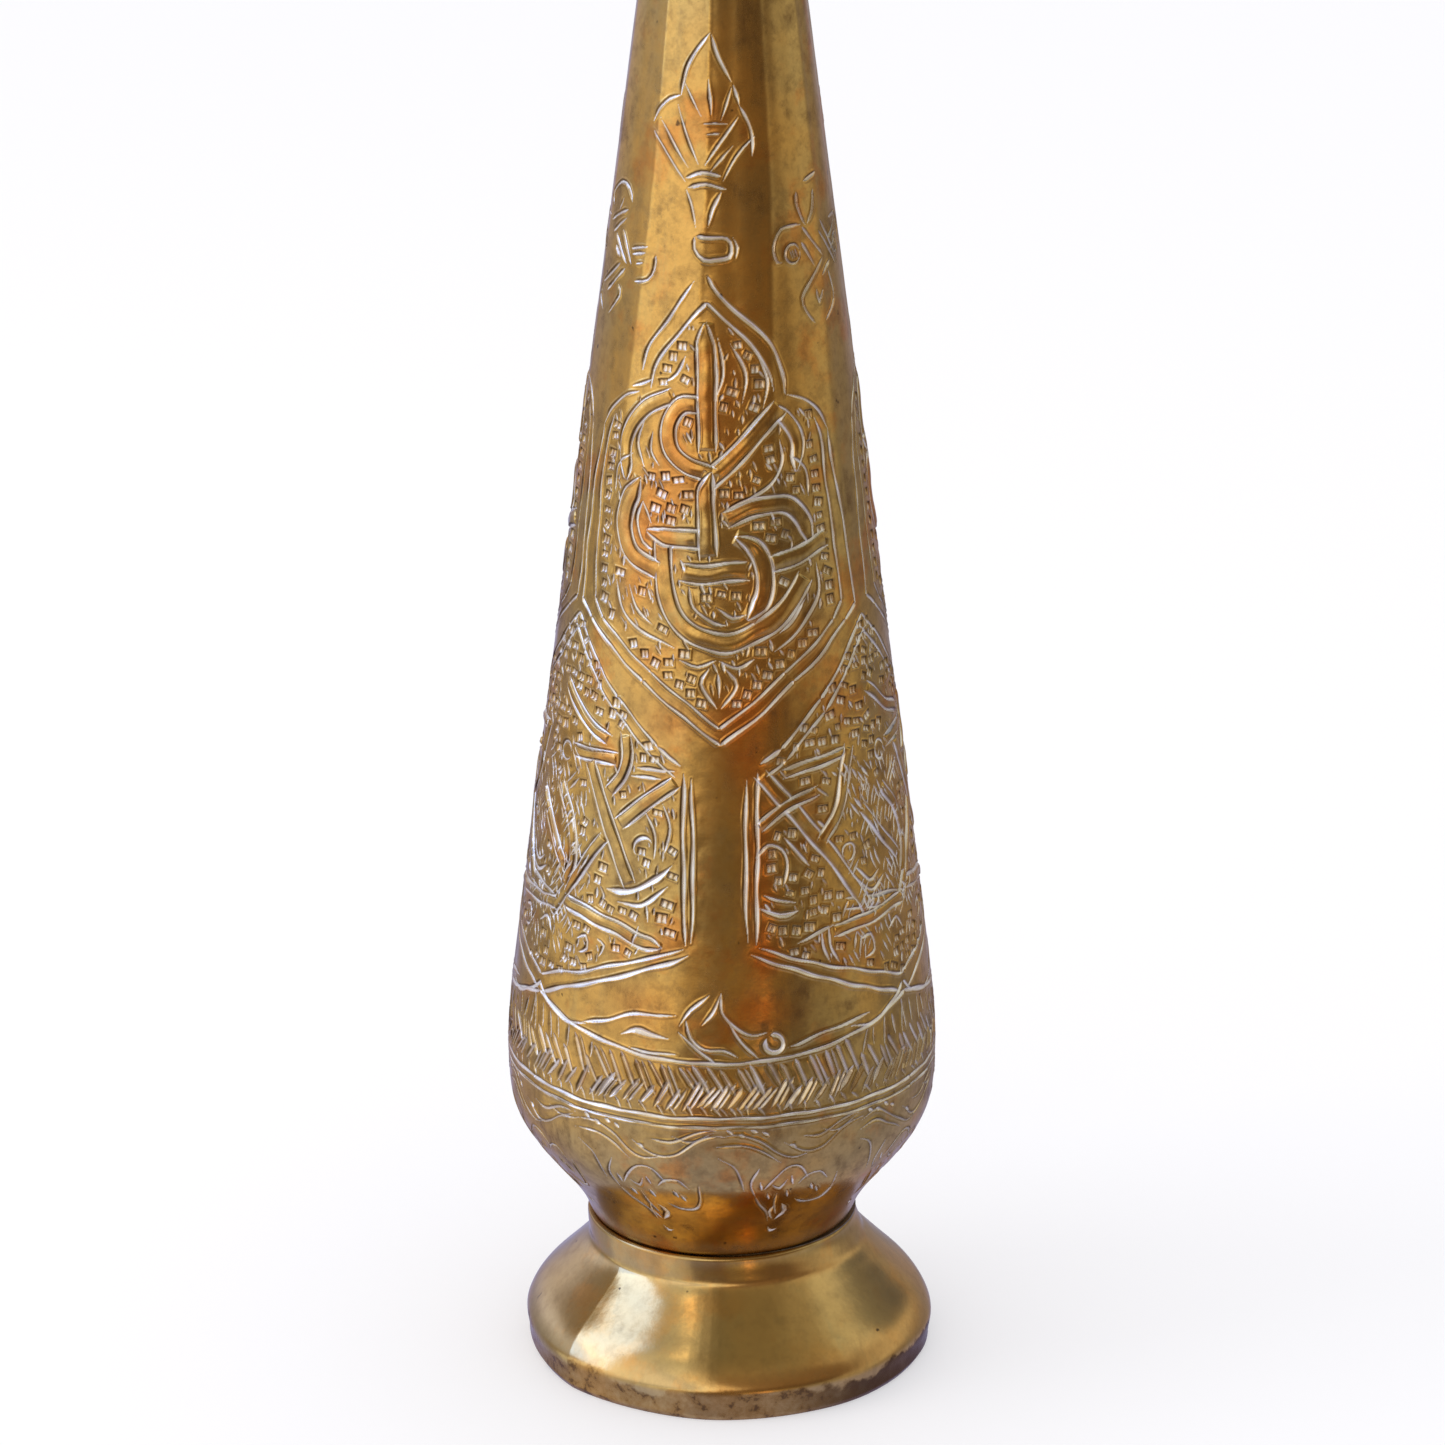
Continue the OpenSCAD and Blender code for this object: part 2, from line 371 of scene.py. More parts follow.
class Pen:
    """Draws on the sheet in one sector, with the small slips of a hand."""

    CROWN = 0.28                      # height of a strap's middle, mm
    EDGE = 0.62                       # mean width of the strokes beside a strap, mm
    PUNCH = ((1.32, 0.18), (1.08, 0.13), (-0.12, 0.2))    # mean and spread of width, height, turn

    def __init__(self, centre, lean, slip, seed):
        self.centre = centre
        self.lean = lean              # [(height, degrees)]: how the drawing wanders sideways
        self.slip = slip
        self.phase = np.random.default_rng(seed).uniform(0, 6.28, 6)

    def place(self, points):
        """From mm in the sector to azimuth and height."""
        heights, shifts = zip(*self.lean)
        placed = []
        f = self.phase
        for x, z in points:
            dx = math.sin(0.55 * z + 0.3 * x + f[0]) + math.sin(0.21 * z - 0.4 * x + f[1])
            dz = math.sin(0.5 * x + 0.2 * z + f[2]) + math.sin(0.9 * x - 0.3 * z + f[3])
            azimuth = (x + self.slip * dx) / (radius_at(z) * DEG) + self.centre
            azimuth += np.interp(z, heights, shifts)
            placed.append((float(azimuth), float(z + self.slip * dz)))
        return placed

    def groove(self, points, *style, **more):
        """A curve through the points. Width, lead, depth and shine are those of Sheet.groove."""
        run = smooth(points) if len(points) > 2 else smooth(points, 1.5)
        sheet.groove(self.place(run), *style, **more)

    def lines(self, points, *style):
        """Straight strokes from point to point."""
        for a, b in zip(points[:-1], points[1:]):
            self.groove([a, b], *style)

    def strap(self, points, width, ends="open"):
        """A plain crowned band between two strokes. Its ends are open, or come to a point at
        the first, the last or both."""
        run = np.array(smooth(points, 0.5))
        along = np.gradient(run, axis=0)
        side = np.stack([-along[:, 1], along[:, 0]], axis=1) / np.hypot(*along.T)[:, None]
        travelled = np.concatenate([[0], np.cumsum(np.hypot(*np.diff(run, axis=0).T))])
        half = np.full(len(run), width / 2)
        for way, names in ((travelled, ("first", "both")),
                           (travelled[-1] - travelled, ("last", "both"))):
            if ends in names:
                half *= np.clip(way / (1.2 * width), 0.02, 1) ** 0.7
        sheet.band(self.place(run), width, self.CROWN)
        for sign in (1, -1):
            line = run + sign * side * half[:, None]
            head = line[0] - (line[1] - line[0]) * rng.uniform(0, 0.5) / 0.5
            tail = line[-1] + (line[-1] - line[-2]) * rng.uniform(0, 0.5) / 0.5
            if ends in ("open", "last"):
                line = np.vstack([[head], line])
            if ends in ("open", "first"):
                line = np.vstack([line, [tail]])
            sheet.groove(self.place(line), self.EDGE * rng.uniform(0.8, 1.15), (1.6, 1.6))

    def punch(self, x, z):
        (azimuth, height), = self.place([(x, z)])
        wide, tall, turn = [rng.normal(mean, spread) for mean, spread in self.PUNCH]
        sheet.punch(azimuth, height, wide, tall, turn)

    def free(self, x, z):
        """Whether nothing has been cut yet at this point."""
        (azimuth, height), = self.place([(x, z)])
        row = min(int(np.searchsorted(ROW_S, float(arc_at(height)))), len(ROW_S) - 1)
        return not sheet.taken[row, int(column_of(azimuth)) % COLUMNS]

    def punch_row(self, points, gap):
        run = smooth(points, 0.25)
        travelled = 0.0
        for a, b in zip(run[:-1], run[1:]):
            travelled += math.hypot(b[0] - a[0], b[1] - a[1])
            if travelled >= gap:
                travelled = 0.0
                self.punch(b[0], b[1])

    def fill(self, outline, gap, rise):
        """Punches in slanting rows, laid twice, then nicks wherever there is still room."""
        x0, x1, z0, z1 = extent(outline)
        for shift in (0, 1):
            for i, z in enumerate(np.arange(z0 + shift * 0.6, z1, rise)):
                for x in np.arange(x0 + gap * ((0.35 * i + 0.3 * shift) % 1), x1, gap):
                    px, pz = x + rng.normal(0, 0.14), z + rng.normal(0, 0.12)
                    if inside_outline(px, pz, outline) and rng.random() < 0.8:
                        self.punch(px, pz)
        for _ in range(int((x1 - x0) * (z1 - z0) * 0.35)):
            x, z = rng.uniform(x0, x1), rng.uniform(z0, z1)
            if inside_outline(x, z, outline) and self.free(x, z):
                lean, size = rng.normal(-0.25, 0.3), rng.uniform(0.35, 0.8)
                nick = [(x + lean * size, z + size), (x - lean * size, z - size)]
                self.groove(nick, rng.uniform(0.35, 0.6), (0.5, 0.5), 0.16, rng.uniform(0.3, 1))

    def hatch(self, outline, count):
        """Short paired strokes at two slants, scattered inside the outline."""
        x0, x1, z0, z1 = extent(outline)
        for _ in range(count):
            x, z = rng.uniform(x0, x1), rng.uniform(z0, z1)
            turn = ((-65, 60)[int(rng.integers(2))] + rng.normal(0, 8)) * DEG
            size = rng.uniform(1.6, 3.0) / 2
            dx, dz = size * math.cos(turn), size * math.sin(turn)
            if all(inside_outline(x + k * dx, z + k * dz, outline) for k in (1, -1)):
                for off in (0, 1.05):
                    ox, oz = -off * math.sin(turn), off * math.cos(turn)
                    self.groove([(x - dx + ox, z - dz + oz), (x + dx + ox, z + dz + oz)], 0.55)


def turned(points):
    """Points given as (degrees, mm) as points in mm."""
    return [(a * float(radius_at(z)) * DEG, z) for a, z in points]


# ---------------------------------------------------------------- ornament
SECTORS = (0, 120, 240)      # azimuths of the medallions
HALF = 60                    # degrees from a sector's middle to its side
BAND_LOW = 48.4              # lower line of the herringbone
STROKES = 31                 # slanting strokes of the herringbone in one sector


def bud(pen):
    """The leaf bud on its stem above each medallion."""
    for run in ([(0.2, 199.4), (1.3, 196.8), (3.4, 193)],
                [(0, 199.6), (-1.8, 196.8), (-2.9, 194.7), (-3.5, 192.2), (-3.6, 191.2)],
                [(-3.7, 191.2), (-5.4, 190.6), (-7.0, 189.0), (-7.9, 187.3)],
                [(3.6, 192.8), (4.2, 190.9), (4.4, 190)],
                [(4.4, 190), (5.6, 187.8), (6.3, 185.6), (6.5, 183)]):
        pen.groove(run, 0.6)
    for run in ([(-8, 186.2), (-4.6, 182), (-2.6, 179.4)],
                [(6.9, 185.9), (4.6, 183.6), (2.3, 179.8)]):
        pen.groove(run, 0.35, depth=0.13)
    for run in ([(-3.1, 192.9), (-0.6, 188.5)], [(0.3, 193.8), (0.7, 188.2)],
                [(3.4, 192.2), (1.9, 187.8)], [(-6.6, 187.9), (-2.3, 181.6)],
                [(-4, 190), (-0.9, 182)], [(4.2, 188.4), (0, 182)], [(3.7, 184.6), (0.7, 181.2)]):
        pen.groove(run, 0.56, (3, 3))
    for run in ([(-0.7, 187.5), (2.8, 187.4)], [(-0.2, 186), (2.3, 186.1)]):
        pen.groove(run, 0.35)
    for run in ([(-2.9, 180.1), (-0.5, 181), (2.3, 180.6)], [(-2.5, 178.8), (0, 179.5), (2.9, 178.8)]):
        pen.groove(run, 0.6, (0.8, 0.8))
    pen.groove([(-2.7, 178.5), (-1.9, 176.2), (-1.3, 173.6)], 0.6)
    pen.groove([(2.1, 178.6), (0.9, 176.4), (0.4, 173.8)], 0.6)
    pen.groove([(-1.2, 172.4), (0.8, 172.3), (3, 172.1), (3.7, 171), (3.3, 169.6), (1.5, 169.2),
                (-0.3, 169.2), (-1.6, 170.6), (-1.5, 172.2)], 0.7, (0.5, 0.5), 0.24)
    pen.groove([(3.9, 172.2), (4.5, 171), (4.2, 169.4)], 0.6)


OGEE_RIGHT = [(0.1, 167), (1.3, 164.7), (5, 161.1), (8.7, 157.6), (10.3, 153.4), (10.6, 150)]
OGEE_LEFT = [(-1.7, 166.3), (-5.2, 161.6), (-8.8, 157.1), (-10.3, 153)]
SIDE = turned([(33, 150.4), (41, 149.6), (49, 147.2), (53.5, 144.6), (56, 137), (57.2, 128),
               (57.6, 119.5)])
VEE = turned([(57.6, 119.5), (51, 117.4), (26, 110.4), (0, 102)])
INNER_SIDE = turned([(46, 146.6), (50, 143), (50.5, 137), (50.5, 128), (50, 120.3)])
INNER_VEE = turned([(50, 120.3), (45, 118), (23, 111.8), (0, 104.4)])
INNER_OGEE = [(0, 163.2), (4, 159.4), (6.6, 156.4), (8.2, 153.6), (8.8, 151)]
MEDALLION = (INNER_OGEE + turned([(44, 147), (47, 137), (47, 120.5), (22, 113), (0, 107)])
             + mirrored(turned([(22, 113), (47, 120.5), (47, 137), (44, 147)]))
             + mirrored(INNER_OGEE[::-1]))


def medallion_border(pen):
    pen.groove(OGEE_RIGHT, 0.75, (1, 3), 0.25)
    pen.groove(OGEE_LEFT, 0.55, (3, 1.5))
    for side in (SIDE, mirrored(SIDE)):
        pen.groove(side[:4], 0.55, (2, 2))
        pen.groove(side[3:], 0.6, (2, 0.3))
    for vee in (VEE, mirrored(VEE)):
        pen.lines(vee[:3], 0.6, (0.3, 0.3))
        pen.groove(vee[2:], 0.6, (0.3, 0.6))
    for side in (INNER_SIDE, mirrored(INNER_SIDE)):
        pen.groove(side, 0.5, (2, 0.3))
    for vee in (INNER_VEE, mirrored(INNER_VEE)):
        pen.lines(vee, 0.5, (0.3, 0.3))
    pen.groove(INNER_OGEE, 0.6, (0.4, 2))
    pen.groove(mirrored(INNER_OGEE), 0.6, (0.4, 1.5))
    pen.groove([(-8.4, 152.4), (-10, 151.6), (-12.2, 151)], 0.55)
    for sign in (1, -1):
        pen.punch_row(sided(turned([(45, 143), (45, 132), (44.5, 121)]), sign), 1.8)
        pen.punch_row(sided(turned([(40, 118.2), (21, 113), (3, 107)]), sign), 2.0)
        pen.punch_row(sided([(2.4, 159), (5.4, 155.6), (6.9, 151.5)], sign), 2.0)


def medallion_knot(pen):
    """Generic strapwork: spines, curls, arches and a hanging loop, woven over and under."""
    pen.strap([(-12.4, 138), (-12.7, 143.4), (-9.8, 148.2), (-5.4, 150.4)], 2.0, "first")
    pen.strap([(12.4, 139.5), (12.7, 144), (10.6, 147.2), (8.2, 148.2)], 1.9, "first")
    pen.strap([(9.8, 148.8), (6.6, 145.4), (3, 142), (-0.8, 138.2)], 2.5)
    pen.strap([(-0.6, 149.6), (-4.0, 149.2), (-5.9, 146.4), (-5.5, 143), (-3, 141), (0.4, 139.8)], 2.2)
    pen.strap([(-0.2, 160.6), (-0.6, 157), (-0.6, 150), (-0.5, 143.2)], 2.4, "first")
    pen.groove([(1.2, 158.8), (1.5, 154), (0.7, 150.6)], 0.5, (3, 2))
    pen.groove([(2.8, 157.8), (4.6, 153.6), (4.4, 149.6)], 0.56, (2, 3))
    pen.groove([(6.4, 156.8), (7.8, 153), (7.4, 148.8)], 0.5, (3, 3))
    pen.groove([(-3.4, 156), (-4.6, 153.6), (-6.4, 152.2)], 0.6)
    pen.groove([(9.9, 144.4), (10.2, 141.4), (8.4, 138.2), (4.4, 135.8)], 0.56, (2, 3))
    pen.groove([(-9.6, 146.6), (-10.6, 143.6), (-9.6, 140.4)], 0.6, (2, 2))
    pen.groove([(-8.2, 145.4), (-8.5, 142.6), (-7.2, 140.6)], 0.5)
    pen.strap([(13.4, 124.8), (10.6, 121.2), (6.6, 118.2), (1.8, 116.6), (-2.6, 117.4), (-5.8, 120.4),
               (-7, 125), (-6.8, 131.6)], 2.6)
    pen.strap([(2.2, 133.6), (6.4, 135.3), (10.6, 135.2), (13.6, 132.8), (14.9, 129)], 2.3, "last")
    pen.strap([(8.2, 127.2), (12.6, 128), (17.4, 129.6)], 2.3)
    pen.strap([(-10.2, 138.8), (-12.4, 134.6), (-13.2, 131), (-11.9, 127.6), (-7.8, 126.2)], 2.5, "first")
    pen.groove([(-9.9, 135.4), (-10.9, 132.6), (-10.2, 129.6), (-8.4, 129)], 0.6)
    pen.groove([(-9.9, 135.4), (-8.6, 132.6)], 0.6)
    pen.strap([(-9.4, 131.5), (-5.5, 131), (-0.4, 130.8)], 2.4, "first")
    pen.strap([(-4.2, 126.3), (0, 126.1), (4.8, 126.5)], 2.5)
    pen.strap([(3.2, 131.2), (6, 129.6), (7.3, 126), (6.9, 122.4), (4.4, 119.6)], 2.4, "both")
    pen.strap([(0.4, 140.2), (-0.4, 136.6), (-0.5, 131), (-0.4, 128.6)], 2.3, "first")
    pen.groove([(-14.8, 124), (-14, 119.8), (-10.4, 117.2), (-6, 115.6)], 0.6, (2, 3))
    pen.groove([(-12.6, 123.4), (-11.6, 120.6), (-9, 118.4)], 0.6, (2, 2))
    pen.groove([(15.4, 126.4), (15.4, 121.8), (12.2, 117.8), (8.2, 115)], 0.6, (2, 3))
    pen.groove([(13.4, 121.8), (11.4, 119.4), (9, 117.6)], 0.55)
    pen.groove([(0, 121.4), (2.2, 120), (4.2, 120.4)], 0.56)
    pen.groove([(-3.4, 124.4), (-3, 121.6), (-0.4, 119.3), (1.4, 119)], 0.6)
    for sign in (1, -1):
        pen.groove(sided([(0.3, 107.4), (2.6, 110.6), (1.2, 113)], sign), 0.6)
        pen.groove(sided([(0.2, 114.2), (3, 113), (5.4, 114)], sign), 0.56)
        pen.groove(sided([(11.4, 142), (14.2, 139.6), (14.6, 136)], sign), 0.5)
    pen.groove([(0, 112.4), (0, 109)], 0.6, (1, 2))
    pen.fill(MEDALLION, 2.2, 2.0)


PANEL_SIDE = turned([(0, 117.5), (24, 107.4), (40, 101.4), (47.5, 99.2), (48.4, 98), (49.8, 73.6)])
PANEL_BASE = turned([(49, 73), (24, 68.4), (0, 64.2)])
PANEL = PANEL_SIDE + PANEL_BASE[1:] + mirrored((PANEL_SIDE + PANEL_BASE[1:])[::-1])


def panel_bars(pen):
    """Crossing bars, crescents and scrolls, each side of the panel with its own set."""
    pen.strap([(2.6, 98), (11.4, 98.9)], 1.7)
    pen.strap([(12.2, 102.4), (13, 99.2), (12.6, 96.6), (10.8, 94.2)], 1.7)
    pen.strap([(6.4, 97.4), (11.2, 89.2), (15.7, 81.4)], 2.0)
    pen.strap([(13, 89.8), (20.7, 96.8)], 1.9)
    pen.strap([(-10.4, 77.6), (1.4, 75.4)], 1.6)
    pen.strap([(0.8, 73.4), (10.8, 87.2)], 1.7)
    pen.strap([(4.4, 76.6), (12, 75.2), (21.8, 72.9)], 1.8, "last")
    pen.strap([(-1, 107), (4, 103.4), (9.4, 101.2)], 1.5)
    pen.strap([(-17.8, 97.8), (-7.2, 99.1)], 1.3)
    pen.strap([(-21.2, 97.6), (-16.4, 91.4), (-12.8, 86.2), (-6.4, 76)], 2.1)
    pen.strap([(-22.4, 90.3), (-18, 93), (-13, 94.6)], 1.3)
    pen.strap([(-6.6, 99.6), (-9.5, 91.7), (-13.2, 87.4)], 1.6)
    pen.strap([(-13.2, 74), (2.1, 75.2)], 1.6)
    pen.strap([(0.2, 92.4), (3.4, 88.3), (4.8, 83), (3.6, 78.6)], 1.5)
    pen.strap([(-5.4, 90.4), (-1.2, 85.4), (2.6, 81.4)], 1.5)
    for run in ([(14.7, 97.9), (20.6, 98.4)], [(14.2, 96.7), (18.5, 97)], [(-19.4, 73.4), (-13, 74.9)],
                [(17, 92), (18.6, 89), (19, 85.4)], [(19.4, 93.4), (20.9, 90), (20.4, 86.4)],
                [(-23, 80.8), (-21.2, 79.8), (-18.5, 79.2)], [(-14, 74.8), (-14.1, 71.8), (-12.9, 69.4)],
                [(-15.3, 74.4), (-15.4, 72), (-14.5, 69.8)], [(-7.9, 82.4), (-5.3, 79.7), (-2.9, 80.8)],
                [(-8.9, 81.4), (-5.3, 78.3), (-2, 79.6)],
                [(7.4, 71.6), (9.2, 72.6), (9.6, 70.8), (8, 69.9)],
                [(11.4, 72.6), (12.8, 71.6), (12.2, 70)], [(-2.4, 71.4), (0, 72.6), (1.8, 70.6)],
                [(-8.6, 71.8), (-6.4, 72.2), (-6, 69.8), (-8.2, 69)], [(17.4, 72.6), (18, 75.8)],
                [(19.4, 76.6), (18.8, 79.4)], [(-18.9, 88.4), (-15.8, 84)]):
        pen.groove(run, 0.6)
    pen.groove([(12, 80), (16.5, 80.6), (20.1, 83), (21.8, 84.8)], 1.0, (2, 3), 0.28)
    pen.groove([(14, 78.5), (18.1, 78.8), (21.8, 81.8)], 0.7, (2, 3))
    pen.groove([(-24, 78.9), (-21.1, 77.6), (-18.4, 78)], 0.9, depth=0.28)
    pen.groove([(-23.6, 86.2), (-21.6, 87.8), (-19.6, 86.8), (-19.1, 84.6), (-20, 81.6)], 0.6)
    pen.groove(ring(17, 87, 1.4, 20, 240), 0.6)
    pen.groove(ring(-8.8, 84.9, 1.2, -100, 210), 0.5)
    pen.groove(ring(0.6, 97.4, 1.3, 0, 330), 0.5)


def panel(pen):
    """Strapwork between two medallions, with its border."""
    panel_bars(pen)
    pen.hatch([(-9, 98), (6, 98), (9, 84), (9, 68), (-12, 68), (-9, 84)], 90)
    pen.fill([(x * 0.94, z) for x, z in PANEL], 2.1, 1.85)
    for sign in (1, -1):
        side = sided(PANEL_SIDE, sign)
        pen.lines(side[:3], 0.56, (0.4, 0.4))
        pen.lines(side[2:4], 0.9, (1, 1))
        pen.lines([(x - sign * 0.6, z - 1.7) for x, z in side[:4]], 0.55, (1, 1))
        pen.groove(side[4:], 0.75, (2, 2))
    for base in (PANEL_BASE, mirrored(PANEL_BASE)):
        pen.groove(base, 0.56, (2, 0.6))


def stem_band(pen):
    """The plain upright band below a medallion."""
    pen.groove([(-4.1, 97.6), (-4.0, 86), (-4.1, 74)], 0.7, (5, 4))
    pen.groove([(3.3, 97.2), (3.5, 86), (3.9, 74)], 0.7, (5, 5))


def cartouche(pen):
    """The eye-shaped plain field above the herringbone, and its spray of leaves."""
    for sign in (1, -1):
        pen.groove(sided(turned([(8.5, 72.2), (32, 67.2), (59, 61.6)]), sign), 0.75, (3, 2))
        pen.groove(sided(turned([(60, 63), (55, 61), (46, 59.4), (38, 59.7)]), sign), 0.7, (0.4, 3))
    for run in ([(-21, 59.8), (-17.4, 61.2), (-14, 62.6), (-10, 63.1), (-6, 63.4)],
                [(-13.2, 58), (-9, 57.6), (-5.8, 57.6)], [(-5.4, 62), (-4, 64.4), (-1.4, 66.6)],
                [(-4.6, 63), (-3.9, 60.4), (-2, 58.8), (0.8, 58.4), (2.8, 57.5)],
                [(-5.6, 61), (-2.6, 58.4), (0, 56.2)], [(-2.4, 62.4), (-1, 64.2), (0.2, 66.8)],
                [(0.2, 66.8), (0.2, 64), (2, 61.8), (4.6, 60.6), (7, 60.9)],
                [(1.2, 62.4), (2.6, 60.2), (5.8, 57)], [(9.9, 58.6), (17.2, 60), (24, 61)]):
        pen.groove(run, 0.56, (2, 2))
    pen.groove([(-14.6, 59.7), (-12.3, 60.6), (-9.6, 60.3), (-7.1, 59.8)], 1.2, (3, 4), 0.3)
    pen.groove(ring(7.9, 59.2, 1.3, 110, -210), 0.95, (0.4, 0.8), 0.28)


def band_top(azimuth):
    """Height of the herringbone's upper edge at an azimuth counted from the sector's middle."""
    return 56.6 + 5.0 * min(abs(azimuth) / HALF, 1) ** 2


def herringbone(pen):
    """Three rows of slanting strokes under the cartouche, between their lines."""
    across = np.linspace(-HALF, HALF, 25)
    pen.groove(turned([(a, band_top(a)) for a in across]), 0.7, (0.5, 0.5))
    half = HALF * float(radius_at(52)) * DEG
    for k in range(STROKES):
        x = (2 * k / STROKES - 1) * half + rng.normal(0, 0.12)
        top = band_top(x / half * HALF) - rng.uniform(0.3, 1.1)
        a, b, c, d, e, f = rng.normal(0, 0.22, 6)
        mark = 53.1 + a if k % 2 else 52.3 + b
        if top - mark > 5:
            pen.groove([(x + c, top), (x + d, mark + 3.2)], 0.55, (1, 1), shine=0.7)
            top = mark + 3.4
        rows = ([(x - 1.1 + c, top), (x + 1.2 + d, mark - 0.8)],
                [(x + 2.0 + d, mark + 0.7), (x - 0.5 + e, 49.8 + b)],
                [(x + f, 50.2 + c), (x + 0.9 + a, BAND_LOW + 0.4)])
        for run, width, twin in zip(rows, (0.95, 0.88, 0.7), (0.35, 0.6, 0.1)):
            pen.groove(run, width, (0.7, 1.2), 0.32, rng.uniform(0.2, 0.8))
            if rng.random() < twin:
                beside = [(px + 0.95, pz) for px, pz in run]
                pen.groove(beside, 0.55, (1, 1), shine=rng.uniform(0.2, 0.7))
    for z, width in ((BAND_LOW, 0.62), (SEAM_Z + 0.02, 0.5)):
        pen.groove(turned([(a, z) for a in across]), width, (0.1, 0.1))


def vine(pen):
    """One reach of the wavy double tendril under the belly's lines, with leaves and dots."""
    for run in ([(-11, 45.4), (-8, 46), (-5.2, 44.6), (-2.6, 42.6), (0.2, 41.4), (3, 42.2)],
                [(-11.4, 43.8), (-8, 44.4), (-5, 43), (-2, 41)],
                [(-1.6, 44.2), (1.6, 42.2), (4.8, 42.8), (8, 44.8), (11.4, 45.6)],
                [(1, 44.8), (4, 44.6), (7.4, 46), (10.6, 46.4)], [(4.6, 45.6), (7.4, 44.8), (10.2, 46)],
                [(-10.8, 42.2), (-8.6, 41), (-7.4, 38.6), (-6.6, 36)]):
        pen.groove(run, 0.42, (2.5, 2.5), 0.16, 0.55)
    for x, z in ((-9.4, 46.4), (-7.6, 45.9), (-5.8, 46.3), (-4.2, 45.6), (-0.2, 43.4)):
        pen.groove([(x - 0.4, z + 0.3), (x + 0.5, z - 0.3)], 0.75, (0.4, 0.4))


def tassel(pen):
    """One hanging lotus of the underside."""
    for run in ([(-4.8, 35.2), (-3.6, 33), (-1.8, 30.6), (-1, 28.4)],
                [(-1.3, 35), (-1.1, 32.6), (-0.2, 30)],
                [(2, 33.2), (3.8, 31.8), (6, 32), (7.2, 34), (7.5, 37.4)],
                [(-3.6, 36.4), (-2.6, 38.2), (-1, 39.8), (1.2, 39.6), (2.8, 37.6)],
                [(-4.8, 35.2), (-5.8, 37.6), (-5, 40.4)],
                [(1.6, 36.6), (2.6, 38), (4.6, 38.4), (6, 36.6)],
                [(-2.6, 37.2), (-1.2, 36), (-0.4, 37.6)]):
        pen.groove(run, 0.45, (1.5, 1.5), 0.17, 0.7)
    pen.groove([(-1, 32.2), (-1.4, 30.6), (-0.4, 28.8)], 0.55)
    pen.groove([(0.2, 32.4), (1, 30.8), (-0.1, 28.8)], 0.95, depth=0.25)
    pen.groove([(-0.6, 27.2), (0, 26.3), (0.8, 26.4)], 0.9)
    for x, z in ((-4.2, 37), (-2.6, 34.6), (0.4, 34.6), (0.4, 37.2), (3.9, 35.4), (4.9, 34.4)):
        pen.groove([(x - 0.3, z + 0.9), (x + 0.3, z - 0.7)], 0.56, (0.8, 0.8))


def side_knot(pen, looped):
    """The small woven knot between two medallions' peaks, with a loop or a leaf on top."""
    # painted highlight: the looped knot, the one on the lit left side, gets full shine; the others get
    # 0.6, as if in shade
    if looped:
        runs = ([(-2.8, 174.4), (-3.2, 176.3), (-0.9, 178), (1.1, 177.6), (2.2, 175.9)],
                [(0, 175.9), (-0.8, 174)], [(1.4, 174.6), (-2.8, 172.3)], [(1.4, 173.4), (-1.8, 170.8)],
                [(-0.7, 170.8), (2.9, 167.1)], [(1.1, 171.8), (4.1, 167.2)], [(3.8, 169.5), (7, 170.4)],
                [(4.2, 168.8), (6.7, 169.5)], [(5, 167.6), (6.7, 168.2)],
                [(8.4, 169.4), (8.5, 167.5), (7.7, 166), (5.2, 165.3)],
                [(2.6, 166.4), (-1.7, 162.9)], [(1.3, 167.1), (-3.6, 163.6)],
                [(1.4, 164), (2, 162.5), (-0.3, 159.8)], [(-3.6, 163.6), (-4.2, 161.6), (-2.6, 160)])
        pen.groove([(-0.6, 169.2), (1, 168)], 1.2, (0.5, 0.5))
        shine = 1
    else:
        runs = ([(-2.2, 178.7), (0.9, 179.9)], [(-3.6, 177.5), (-3.7, 176), (-3, 173.8), (-2.4, 172.8)],
                [(-0.4, 177.6), (-0.6, 175.9), (-1, 174.4), (-2.1, 172.9)], [(-3.1, 172.6), (0.3, 168.2)],
                [(0.7, 173.2), (5.7, 166.1)], [(0, 171.8), (4.6, 166.4)], [(8, 172), (3, 168.6)],
                [(7.6, 173.4), (2.4, 170)], [(-3.6, 170.6), (-1.6, 167)], [(2.4, 167.1), (-0.3, 165.4)],
                [(0.2, 167.8), (-2.5, 165.5), (-4.4, 163.3), (-4, 161.3), (-2.6, 159.4)],
                [(1.6, 165.9), (2.9, 162.8), (2.2, 161), (-0.2, 159.3)],
                [(-1.8, 163.9), (-1.3, 162), (-0.4, 163.6)])
        shine = 0.6
    for run in runs:
        pen.groove(run, 0.55, (0.7, 0.9), shine=shine)
    curl = [(3.3, 172.9), (5.2, 173.1), (6.9, 173), (8.2, 171.6), (8.6, 170.1), (8.1, 168.6),
            (7.2, 168.5)]
    for sign in (-1,) if looped else (-1, 1):
        pen.groove(sided(curl, sign), 0.6, shine=shine)
        pen.groove(ring(sign * 5.4, 169.3, 1.3), 0.4, shine=shine)
        for x in (5, 5.5, 5.9):
            pen.groove(sided([(x, 169.9), (x - 0.5, 168.5)], sign), 0.35, (0.4, 0.6), shine=shine)


# Patches of painted copper-red reflection: azimuth, height, half width and half height in mm, strength.
ORANGE_REFLECTIONS = ((-17, 147, 2.5, 4, 0.7), (-24, 143, 2, 4, 0.5), (-30, 132, 4, 5, 0.9), (-32, 124, 3, 4, 0.6),
           (13, 121, 2, 6, 0.6), (-17, 105, 3, 3, 0.6), (9, 107, 5, 4, 1.0), (7, 100, 3, 4, 0.8),
           (30, 117, 4, 4, 0.4), (11, 83, 2.2, 12, 1.1), (12, 72, 3, 3, 0.9), (11, 64, 5, 3, 0.8),
           (4, 152, 3, 7, 0.5), (-22, 64, 4, 3, 0.5))


